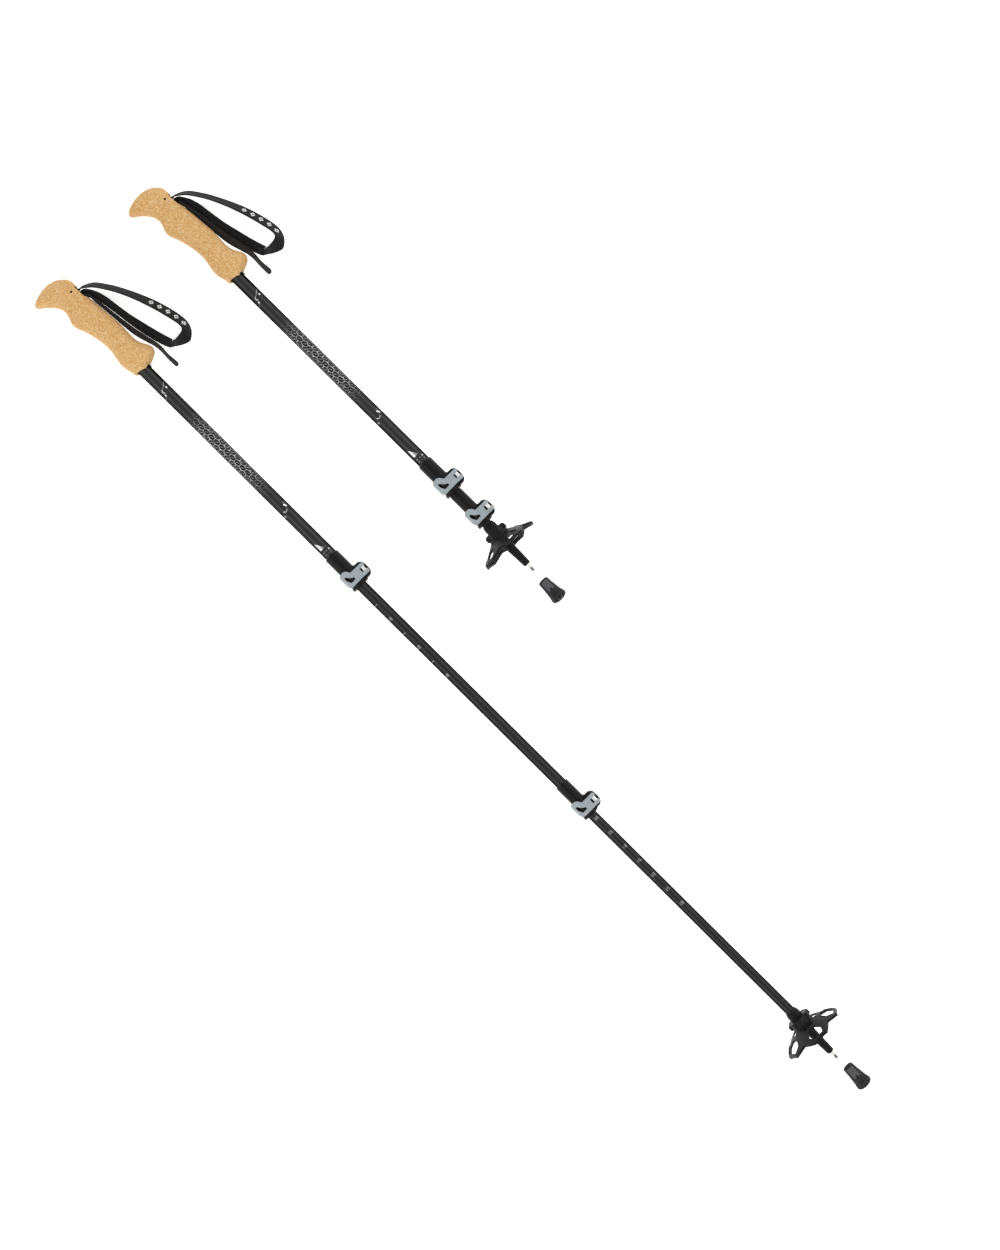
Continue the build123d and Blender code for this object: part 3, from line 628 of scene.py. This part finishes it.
def upper_tube_finish(colours, pole):
    """Charcoal coat with the printed net, splashes, wedge and dots."""
    finish, tree, shader = new_finish(f"upper_tube_{pole}", **TUBE_SHEEN)
    shade, gloss, normal, along, side, up = tube_base(tree, colours, pole)
    around = arc(tree, side, up, UPPER_TUBE_RADIUS)
    wrap = put(tree, "CombineXYZ", {0: along, 1: around}).outputs[0]
    fade = times(tree, step(tree, along, *NET_FADES_IN), step(tree, along, *NET_FADES_OUT))
    patchy = step(tree, grain(tree, wrap, 0.28, 2.0), 0.30, 0.62)
    share = plus(tree, times(tree, patchy, 0.62), 0.20)
    net = honeycomb(tree, along, around, NET_PITCH, NET_ROWS)
    ink = times(tree, net, fade, share, 0.74)
    shade = lay_over(tree, times(tree, fade, 0.65), shade, tinted(tuple(colours.lacquer), 0.4))
    for at, length, width, turn, strength in SPLASHES:
        mark = spot(tree, along, around, at, length, width, turn)
        ink = larger(tree, ink, times(tree, mark, strength))
    slope = minus(tree, times(tree, minus(tree, along, WEDGE_TIP), WEDGE_SLOPE), 3.6)
    wedge = times(
        tree,
        step(tree, along, WEDGE_END, WEDGE_END - 0.4),
        step(tree, around, WEDGE_SIDE, WEDGE_SIDE + 1.2),
        step(tree, minus(tree, slope, around), -0.2, 0.3),
        step(tree, along, WEDGE_TIP - 2.5, WEDGE_TIP),
    )
    glow = spread(tree, around, 0.22, 0.85, *WEDGE_GLOW)
    ink = larger(tree, ink, times(tree, wedge, glow))
    ink = times(tree, ink, step(tree, grain(tree, wrap, 1.4, 3.0), 0.22, 0.48))
    shade = lay_over(tree, ink, shade, INK)
    feed(tree, shader, shade, gloss, normal)
    return finish


def bar(tree, x, y, at, size, soft=0.16):
    """Printed bar of a numeral, square to the tube: its middle and size in millimetres."""
    shares = []
    for value, middle, length in ((x, at[0], size[0]), (y, at[1], size[1])):
        off = distance(tree, value, middle)
        shares.append(step(tree, off, length / 2 + soft, length / 2 - soft))
    return times(tree, *shares)


# A numeral's seven bars, as (across, up) from its middle, and those that each figure shows.
BARS = {
    "top": (0, 1),
    "high_left": (-1, 0.5),
    "high_right": (1, 0.5),
    "middle": (0, 0),
    "low_left": (-1, -0.5),
    "low_right": (1, -0.5),
    "foot": (0, -1),
}
FIGURES = {
    0: ("top", "high_left", "high_right", "low_left", "low_right", "foot"),
    1: ("high_right", "low_right"),
    2: ("top", "high_right", "middle", "low_left", "foot"),
    3: ("top", "high_right", "middle", "low_right", "foot"),
    5: ("top", "high_left", "middle", "low_right", "foot"),
}
# A numeral's size and the width of its bars, in mm, and how many widths apart two stand.
NUMERAL_HEIGHT, NUMERAL_WIDTH, NUMERAL_STROKE, NUMERAL_SPACING = 3.6, 1.25, 0.42, 1.6


def scale_numbers(tree, along, around, start, pitch, numbers, at):
    """Row of three-figure numbers along a tube, each read with the grip upwards."""
    count = calc(tree, "DIVIDE", minus(tree, along, start), pitch)
    index = calc(tree, "FLOOR", count)
    x = times(tree, minus(tree, minus(tree, count, index), 0.5), pitch)
    tall, wide, stroke = NUMERAL_HEIGHT, NUMERAL_WIDTH, NUMERAL_STROKE
    ink = None
    for place in range(3):
        figures = [int(str(number)[place]) for number in numbers]
        middle = at + (place - 1) * wide * NUMERAL_SPACING
        for name, (over, rise) in BARS.items():
            lit = [name in FIGURES[figure] for figure in figures]
            if not any(lit):
                continue
            size = (tall / 2, stroke) if over else (stroke, wide)
            mark = bar(tree, x, around, (-rise * tall / 2, middle + over * wide / 2), size)
            if not all(lit):
                shown = None
                for number, on in enumerate(lit):
                    if on:
                        here = within(tree, index, number - 0.5, number + 0.5, 0.1)
                        shown = here if shown is None else plus(tree, shown, here)
                mark = times(tree, mark, shown)
            ink = mark if ink is None else larger(tree, ink, mark)
    return times(tree, ink, within(tree, index, -0.5, len(numbers) - 0.5, 0.1))


def lower_tube_finish(colours, pole, name):
    """Dark grey anodised tube, drawn along its length, with its length scale."""
    finish, tree, shader = new_finish(f"{name}_{pole}", **TUBE_SHEEN)
    shade, gloss, normal, along, side, up = tube_base(tree, colours, pole, LOWER_TUBE_DEPTH)
    first, radius, at, pitch, numbers, lined = SCALES[name]
    if pole == "stowed":
        first -= JOINT_TRAVEL[name]
    around = arc(tree, side, up, radius)
    ink = scale_numbers(tree, along, around, first, pitch, numbers, at)
    if lined:
        off = minus(tree, along, first)
        nearest = times(tree, calc(tree, "ROUND", calc(tree, "DIVIDE", off, pitch)), pitch)
        lines = bar(tree, minus(tree, off, nearest), around, (0.0, at), SCALE_LINE)
        last = first + (len(numbers) - 0.5) * pitch
        ink = larger(tree, ink, times(tree, lines, within(tree, along, first - 1.0, last, 0.2)))
    worn = grain(tree, object_space(tree), 900.0, 3.0)
    ink = times(tree, ink, times(tree, step(tree, worn, 0.2, 0.5), 0.62))
    shade = lay_over(tree, ink, shade, SCALE_INK)
    feed(tree, shader, shade, gloss, normal)
    return finish


# Where the pale lozenges stand along the outer run, in mm, and how many there are.
MOTIF = (89.1, 146.1, 5)
LOZENGE_TAPER, LOZENGE_HALF_WIDTH = 3.4, 4.0
PALE_YARN = (0.78, 0.78, 0.78)
CHEVRONS = 0.36  # chevrons in a mm across the webbing
RIB_TURNS, END_TURNS = 5.6, 11.2  # radians in a mm along the webbing and across it


def webbing_finish(colours, name, motif):
    """Woven polyester band: ribs across, a plain selvage and, if asked, a pale motif."""
    sheen = {"Sheen_Weight": 0.06, "Sheen_Roughness": 0.45}
    finish, tree, shader = new_finish(name, Roughness=0.82, Specular_IOR_Level=0.12, **sheen)
    run, over = strip_space(tree)
    chevron = distance(tree, calc(tree, "FRACT", times(tree, over, CHEVRONS)), 0.5)
    slant = plus(tree, run, times(tree, chevron, 2.4))
    ribs = calc(tree, "SINE", times(tree, slant, RIB_TURNS))
    ends = calc(tree, "SINE", times(tree, over, END_TURNS))
    weave = plus(tree, times(tree, ribs, 0.30), times(tree, ends, 0.20), 0.5)
    fuzz = grain(tree, object_space(tree), 1800.0, 3.0)
    dusty = grain(tree, object_space(tree), 70.0, 4.0)
    value = plus(tree, times(tree, weave, 0.7), times(tree, dusty, 0.35))
    yarn = tuple(colours.webbing)
    shade = shades(tree, value, yarn, (0.2, 0.45), (0.5, 1.0), (0.85, 2.1))
    if motif:
        first, last, count = motif
        turns = calc(tree, "DIVIDE", minus(tree, run, first), (last - first) / count)
        cell = minus(tree, calc(tree, "FRACT", turns), 0.5)
        ahead = times(tree, distance(tree, cell), LOZENGE_TAPER)
        aside = calc(tree, "DIVIDE", distance(tree, over), LOZENGE_HALF_WIDTH)
        lozenge = plus(tree, ahead, aside)
        mark = times(
            tree,
            step(tree, lozenge, 1.06, 0.92),
            step(tree, lozenge, 0.30, 0.44),
            within(tree, run, first, last, 0.1),
            step(tree, weave, 0.12, 0.42),
        )
        shade = lay_over(tree, mark, shade, PALE_YARN)
    height = plus(tree, times(tree, weave, 0.8), times(tree, fuzz, 0.3))
    feed(tree, shader, shade, None, relief(tree, height, 0.00032))
    return finish


def lining_finish(colours):
    """Brushed knit of the pad."""
    sheen = {"Sheen_Weight": 0.08, "Sheen_Roughness": 0.5}
    finish, tree, shader = new_finish("pad_lining", Roughness=0.88, Specular_IOR_Level=0.1, **sheen)
    run, over = strip_space(tree)
    loops = times(
        tree,
        calc(tree, "SINE", times(tree, run, 5.0)),
        calc(tree, "SINE", times(tree, over, 6.6)),
    )
    fuzz = grain(tree, object_space(tree), 1600.0, 4.0)
    dusty = grain(tree, object_space(tree), 80.0, 4.0)
    height = plus(tree, times(tree, loops, 0.22), times(tree, fuzz, 0.7))
    value = plus(tree, times(tree, height, 0.6), times(tree, dusty, 0.4))
    yarn = tinted(tuple(colours.webbing), 0.85)
    shade = shades(tree, value, yarn, (0.25, 0.5), (0.5, 1.0), (0.85, 2.1))
    feed(tree, shader, shade, None, relief(tree, height, 0.00035))
    return finish


# ------------------------------------------------------------------ soft pieces
def smooth_line(points, parts):
    """Points of a Catmull-Rom curve through points, parts to a span."""
    padded = [points[0] * 2 - points[1], *points, points[-1] * 2 - points[-2]]
    line = []
    for i in range(1, len(padded) - 2):
        a, b, c, d = padded[i - 1 : i + 3]
        for k in range(parts):
            t = k / parts
            line.append(
                0.5
                * (
                    b * 2
                    + (c - a) * t
                    + (a * 2 - b * 5 + c * 4 - d) * t * t
                    + (b * 3 - a - c * 3 + d) * t * t * t
                )
            )
    line.append(points[-1].copy())
    return line


def band_section(count, flatness, crown):
    """(across from -1 to 1, out from -1 to 1) points round a band's section."""
    section = []
    for k in range(count):
        turn = 2 * math.pi * (k + 0.5) / count
        c, s = math.cos(turn), math.sin(turn)
        across = math.copysign(abs(c) ** (2 / flatness), c)
        out = math.copysign(abs(s) ** (2 / crown), s)
        section.append((across, out))
    return section


def sweep_band(name, pole, stations, section, thickness, width_of=None, parts=8):
    """Closed band through (upper edge, lower edge) stations in the pole's frame, in mm.

    thickness is half the band's, as a function of the share along it and across it.
    """
    tops = smooth_line([Vector(top) for top, _ in stations], parts)
    lows = smooth_line([Vector(low) for _, low in stations], parts)
    middles = [(top + low) / 2 for top, low in zip(tops, lows)]
    total = sum((b - a).length for a, b in zip(middles, middles[1:]))
    mesh = bmesh.new()
    strip = mesh.loops.layers.uv.new("strip")
    place = PLACES[pole]
    loops, runs, run = [], [], 0.0
    for i, (top, low) in enumerate(zip(tops, lows)):
        if i:
            run += (middles[i] - middles[i - 1]).length
        ahead = middles[min(i + 1, len(middles) - 1)] - middles[max(i - 1, 0)]
        across = low - top
        half = across.length / 2
        across.normalize()
        out = across.cross(ahead).normalized()
        if width_of is not None:
            half *= width_of(run, total)
        ring = []
        for over, rise in section:
            lift = thickness(run / total, over) * rise
            point = middles[i] + across * (over * half) + out * lift
            ring.append(mesh.verts.new(place @ (point * MM)))
        loops.append((ring, half))
        runs.append(run)
    count = len(section)
    for i in range(len(loops) - 1):
        (ring, half), (after, after_half) = loops[i], loops[i + 1]
        for k in range(count):
            n = (k + 1) % count
            face = mesh.faces.new((ring[k], ring[n], after[n], after[k]))
            spots = (
                (runs[i], section[k][0] * half),
                (runs[i], section[n][0] * half),
                (runs[i + 1], section[n][0] * after_half),
                (runs[i + 1], section[k][0] * after_half),
            )
            for corner, (u, v) in zip(face.loops, spots):
                corner[strip].uv = (u * MM, v * MM)
            face.smooth = True
    for (ring, _), back in ((loops[0], True), (loops[-1], False)):
        for k in range(count // 2 - 1):
            corners = [ring[c] for c in (k, k + 1, count - 2 - k, count - 1 - k)]
            if not back:
                corners.reverse()
            face = mesh.faces.new(corners)
            for corner in face.loops:
                corner[strip].uv = (0.0, 0.0)
    bmesh.ops.recalc_face_normals(mesh, faces=mesh.faces)
    data = bpy.data.meshes.new(name)
    mesh.to_mesh(data)
    mesh.free()
    piece = bpy.data.objects.new(name, data)
    bpy.context.scene.collection.objects.link(piece)
    return piece, total


def leaning(top, low, width, drop=0.0):
    """Upper and lower edge points from their plan places, standing width apart."""
    gap = (Vector(low) - Vector(top)).length
    rise = math.sqrt(max(width * width - gap * gap, 1.0)) / 2
    return (top[0], top[1], rise - drop), (low[0], low[1], -rise - drop)


# Plan places of the strap's edges in a pole's frame, in mm: (upper edge), (lower edge),
# and the share of the droop there.
OUTER_RUN = [
    ((29.8, 8.0), (28.6, 8.0), 0.0),
    ((31.0, 13.0), (27.8, 13.0), 0.0),
    ((34.8, 19.4), (27.4, 18.8), 0.0),
    ((41.9, 27.2), (34.5, 31.4), 0.05),
    ((55.0, 36.1), (48.6, 42.0), 0.15),
    ((67.2, 42.9), (61.8, 49.8), 0.3),
    ((85.8, 51.0), (82.8, 60.0), 0.5),
    ((108.8, 58.8), (104.1, 68.4), 0.7),
    ((132.1, 64.8), (127.0, 74.6), 0.85),
    ((142.8, 66.8), (143.2, 76.6), 0.95),
    ((148.6, 66.6), (155.0, 73.2), 1.0),
    ((150.7, 64.0), (163.0, 65.8), 1.0),
    ((151.8, 60.4), (164.2, 60.2), 1.0),
    ((153.0, 55.8), (160.0, 51.8), 0.9),
    ((153.6, 51.6), (155.2, 44.8), 0.8),
    ((152.6, 49.2), (152.2, 39.4), 0.7),
]
PAD_RUN = [
    ((33.6, 12.6), (37.4, 12.6), 0.0),
    ((36.0, 18.4), (41.6, 17.2), 0.0),
    ((43.4, 23.6), (47.4, 19.2), 0.0),
    ((51.2, 26.9), (53.4, 20.4), 0.05),
    ((62.0, 29.8), (63.0, 21.9), 0.1),
    ((79.8, 32.2), (80.2, 24.3), 0.25),
    ((97.4, 35.0), (98.1, 26.4), 0.35),
    ((115.1, 39.2), (116.2, 29.4), 0.5),
    ((132.8, 43.5), (135.0, 33.8), 0.6),
    ((144.2, 46.8), (146.2, 37.4), 0.68),
    ((152.0, 49.4), (151.6, 39.8), 0.7),
]
TAIL_RUN = [
    ((39.8, 8.0), (39.0, 8.0), 0.0),
    ((40.2, 12.8), (39.4, 12.8), 0.0),
    ((43.0, 16.8), (44.2, 16.2), 0.0),
    ((50.4, 18.4), (51.0, 16.2), 0.0),
    ((60.0, 20.0), (60.5, 17.0), 0.0),
    ((79.6, 22.6), (80.0, 18.6), 0.0),
    ((96.0, 24.6), (96.0, 19.6), 0.05),
    ((112.0, 27.0), (112.4, 21.4), 0.1),
    ((128.0, 30.3), (128.8, 25.8), 0.2),
    ((138.0, 32.6), (138.2, 28.6), 0.3),
    ((147.4, 33.9), (147.8, 29.6), 0.45),
    ((160.0, 33.1), (160.0, 29.1), 0.8),
    ((170.0, 33.9), (169.6, 29.1), 1.2),
    ((176.2, 34.9), (175.2, 29.3), 1.5),
]
# Points round a band's section, how square its edges are and how crowned its faces.
WEBBING_SECTION = (28, 14.0, 2.6)
PAD_SECTION = (44, 5.0, 2.4)
FREE_END_ROUND = 4.5  # length of the free end's rounded tip, in mm
LEAD_IN = 45.0  # the pad's webbing is as narrow as the strap up to here, in mm
# The pad's sewn seams: their place across its half width, how wide and how deep they are.
SEAM_PLACE, SEAM_WIDTH, SEAM_DEPTH = 0.74, 0.07, 0.34


def strap_stations(run, width, droop):
    """Edge points of a run, each (upper edge, lower edge), at the webbing's width."""
    return [leaning(top, low, width / MM, share * droop / MM) for top, low, share in run]


def even(half):
    """Thickness that is the same all over."""
    return lambda share, over: half


def round_end(reach):
    """Width share that rounds the last reach of a band off."""

    def width_of(run, total):
        left = max(0.0, total - run)
        if left >= reach:
            return 1.0
        return max(0.12, math.sqrt(max(0.0, 1 - ((reach - left) / reach) ** 2)))

    return width_of


# ------------------------------------------------------------------ operators
# The long lights: how far to the side and how high they hang, and their size, in metres.
STRIP_SIDE, STRIP_HEIGHT = 1.9, 1.65
STRIP_LENGTH, STRIP_WIDTH = 3.4, 0.75
FLOOR_GAP = 0.0002  # the floor lies this far below the poles, in metres
FLOOR_TONES = ((0.3, (0.90, 0.90, 0.90)), (0.7, (0.93, 0.93, 0.93)))
SENSOR_WIDTH = 36.0  # in mm


class POLES_OT_studio(bpy.types.Operator):
    """Lay the pale floor and set the soft lights and the camera"""

    bl_idname = "poles.studio"
    bl_label = "Studio"

    def execute(self, context):
        studio = context.scene.pole_studio
        bpy.ops.object.select_all(action="DESELECT")
        bpy.ops.mesh.primitive_plane_add(size=studio.floor, location=(0, 0, -FLOOR_GAP))
        floor = context.object
        floor.name = "studio_floor"
        finish, tree, shader = new_finish(
            "studio_table",
            Roughness=0.9,
            Specular_IOR_Level=0.1,
            Emission_Color=(1.0, 1.0, 1.0, 1.0),  # a lit table
            Emission_Strength=0.65,
        )
        cloud = grain(tree, object_space(tree), 3.0, 2.0)
        feed(tree, shader, tones(tree, cloud, *FLOOR_TONES))
        floor.data.materials.append(finish)
        bpy.ops.object.camera_add(
            location=(studio.aim_x, studio.aim_y, studio.camera_height),
            rotation=(0.0, 0.0, studio.turn),
        )
        camera = context.object
        camera.name = "camera"
        camera.data.lens = studio.lens
        camera.data.sensor_width = SENSOR_WIDTH
        camera.data.clip_start = 0.05
        context.scene.camera = camera
        for side in (-1.0, 1.0):
            bpy.ops.object.light_add(type="AREA", location=(0.0, side * STRIP_SIDE, STRIP_HEIGHT))
            strip = context.object
            strip.data.shape = "RECTANGLE"
            strip.data.size = STRIP_LENGTH
            strip.data.size_y = STRIP_WIDTH
            strip.data.energy = studio.strips
            strip.rotation_euler = (-strip.location).to_track_quat("-Z", "Y").to_euler()
            strip.name = "strip_light_near" if side < 0 else "strip_light_far"
        world = bpy.data.worlds.new("studio_world")
        context.scene.world = world
        world.use_nodes = True
        sky = world.node_tree.nodes["Background"]
        sky.inputs[0].default_value = (1.0, 1.0, 1.0, 1.0)
        sky.inputs[1].default_value = studio.sky
        context.scene.view_settings.view_transform = "Standard"
        return {"FINISHED"}


class POLES_OT_finishes(bpy.types.Operator):
    """Give every modelled part of both poles its finish"""

    bl_idname = "poles.finishes"
    bl_label = "Finishes"

    def execute(self, context):
        colours = context.scene.pole_colours
        nylon = tuple(colours.nylon)
        clamp = nylon_finish(
            "clamp_nylon",
            tinted(nylon, 0.7),
            0.3,
            pit=0.00002,
            scale=900.0,
            shine=0.14,
            ribs=0.0021,
        )
        shared = {
            "cork": cork_finish(colours),
            "moulding_black": nylon_finish("moulded_nylon", nylon, 0.45, shine=0.12),
            "clamp_body": clamp,
            "guide": nylon_finish("bush_acetal", (0.03, 0.03, 0.03), 0.4),
            "basket": nylon_finish("basket_nylon", nylon, 0.42, pit=0.00006, scale=1100.0),
            "pin": metal_finish("pin_end", (0.03, 0.03, 0.03), 0.6),
            "lever": lever_finish(colours),
            "bright_steel": metal_finish("bright_plate", (0.86, 0.86, 0.85), 0.16),
            "steel": metal_finish("turned_steel", (0.66, 0.64, 0.61), 0.27),
            "carbide": metal_finish("sintered_carbide", (0.20, 0.20, 0.21), 0.5, 0.00004),
        }
        for part in frame["record"]["subparts"]:
            node, slot = part["node"], part["material_slot"]
            pole = node.split("_", 1)[0]
            if node.endswith("strap_pin"):
                finish = shared["pin"]
            elif slot == "rubber_cap":
                key = f"cap_{pole}"
                finish = self.once(shared, key, lambda: cap_finish(colours, pole))
            elif slot == "upper_tube":
                key = f"upper_{pole}"
                finish = self.once(shared, key, lambda: upper_tube_finish(colours, pole))
            elif slot == "tube":
                name = "middle_tube" if "middle" in node else "lower_tube"
                key = f"{name}_{pole}"
                finish = self.once(shared, key, lambda: lower_tube_finish(colours, pole, name))
            elif slot in shared:
                finish = shared[slot]
            else:
                continue
            for place in frame["nodes"][node].material_slots:
                place.material = finish
        return {"FINISHED"}

    @staticmethod
    def once(made, key, recipe):
        """The finish of that key, made the first time it is asked for."""
        if key not in made:
            made[key] = recipe()
        return made[key]


class POLES_OT_wrist_webbing(bpy.types.Operator):
    """Weave the outer run of each wrist strap, from its pin to the fold at the wrist"""

    bl_idname = "poles.wrist_webbing"
    bl_label = "Wrist webbing"

    def execute(self, context):
        sizes = context.scene.pole_strap
        finish = webbing_finish(context.scene.pole_colours, "webbing_marked", MOTIF)
        section = band_section(*WEBBING_SECTION)
        for pole in POLES:
            piece, _ = sweep_band(
                f"{pole}_wrist_webbing",
                pole,
                strap_stations(OUTER_RUN, sizes.webbing_width, sizes.droop),
                section,
                even(sizes.webbing_thickness / MM / 2),
            )
            piece.data.materials.append(finish)
            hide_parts(f"{pole}_wrist_strap")
            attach(piece, f"{pole}_strap")
        return {"FINISHED"}


class POLES_OT_wrist_pad(bpy.types.Operator):
    """Stuff the padded run of each wrist strap"""

    bl_idname = "poles.wrist_pad"
    bl_label = "Wrist pad"

    def execute(self, context):
        sizes = context.scene.pole_strap
        finish = lining_finish(context.scene.pole_colours)
        section = band_section(*PAD_SECTION)
        full = sizes.pad_thickness / MM / 2

        def plump(share, over):
            ends = min(1.0, share / 0.10 + 0.35, (1 - share) / 0.06 + 0.45)
            seam = 1 - SEAM_DEPTH * math.exp(-(((abs(over) - SEAM_PLACE) / SEAM_WIDTH) ** 2))
            crown = 1 - 0.42 * abs(over) ** 2.4
            ripple = 1 + 0.05 * math.sin(share * 61.0 + over * 2.1) + 0.03 * math.sin(share * 143.0)
            return full * ends * seam * crown * ripple

        for pole in POLES:
            stations = []
            for top, low, share in PAD_RUN:
                wide = sizes.pad_width if top[0] > LEAD_IN else sizes.webbing_width
                stations.append(leaning(top, low, wide / MM, share * sizes.droop / MM))
            piece, _ = sweep_band(f"{pole}_wrist_pad", pole, stations, section, plump, parts=12)
            piece.data.materials.append(finish)
            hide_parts(f"{pole}_strap_pad")
            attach(piece, f"{pole}_strap")
        return {"FINISHED"}


class POLES_OT_strap_end(bpy.types.Operator):
    """Weave the free end of each strap, with its rounded, heat-sealed tip"""

    bl_idname = "poles.strap_end"
    bl_label = "Free strap end"

    def execute(self, context):
        sizes = context.scene.pole_strap
        finish = webbing_finish(context.scene.pole_colours, "webbing_plain", None)
        section = band_section(*WEBBING_SECTION)
        for pole in POLES:
            piece, _ = sweep_band(
                f"{pole}_strap_end",
                pole,
                strap_stations(TAIL_RUN, sizes.webbing_width, sizes.droop),
                section,
                even(sizes.webbing_thickness / MM / 2),
                width_of=round_end(FREE_END_ROUND),
            )
            piece.data.materials.append(finish)
            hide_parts(f"{pole}_strap_tail")
            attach(piece, f"{pole}_strap")
        return {"FINISHED"}


class POLES_PT_parts(bpy.types.Panel):
    """Sizes, colours and the steps that make the pair"""

    bl_idname = "POLES_PT_parts"
    bl_label = "Trekking poles"
    bl_space_type = "VIEW_3D"
    bl_region_type = "UI"
    bl_category = "Trekking poles"

    def draw(self, context):
        layout = self.layout
        scene = context.scene
        for group in (scene.pole_strap, scene.pole_colours, scene.pole_studio):
            box = layout.box()
            for name in group.__annotations__:
                box.prop(group, name)
        for step_class in STEPS:
            layout.operator(step_class.bl_idname)


STEPS = (
    POLES_OT_studio,
    POLES_OT_finishes,
    POLES_OT_wrist_webbing,
    POLES_OT_wrist_pad,
    POLES_OT_strap_end,
)
CLASSES = (StrapSizes, FinishColours, StudioSizes, *STEPS, POLES_PT_parts)


def register():
    for cls in CLASSES:
        bpy.utils.register_class(cls)
    bpy.types.Scene.pole_strap = PointerProperty(type=StrapSizes)
    bpy.types.Scene.pole_colours = PointerProperty(type=FinishColours)
    bpy.types.Scene.pole_studio = PointerProperty(type=StudioSizes)


def unregister():
    del bpy.types.Scene.pole_studio
    del bpy.types.Scene.pole_colours
    del bpy.types.Scene.pole_strap
    for cls in reversed(CLASSES):
        bpy.utils.unregister_class(cls)


def main():
    register()
    bpy.ops.poles.studio()
    bpy.ops.poles.finishes()
    bpy.ops.poles.wrist_webbing()
    bpy.ops.poles.wrist_pad()
    bpy.ops.poles.strap_end()


if __name__ == "__main__":
    main()
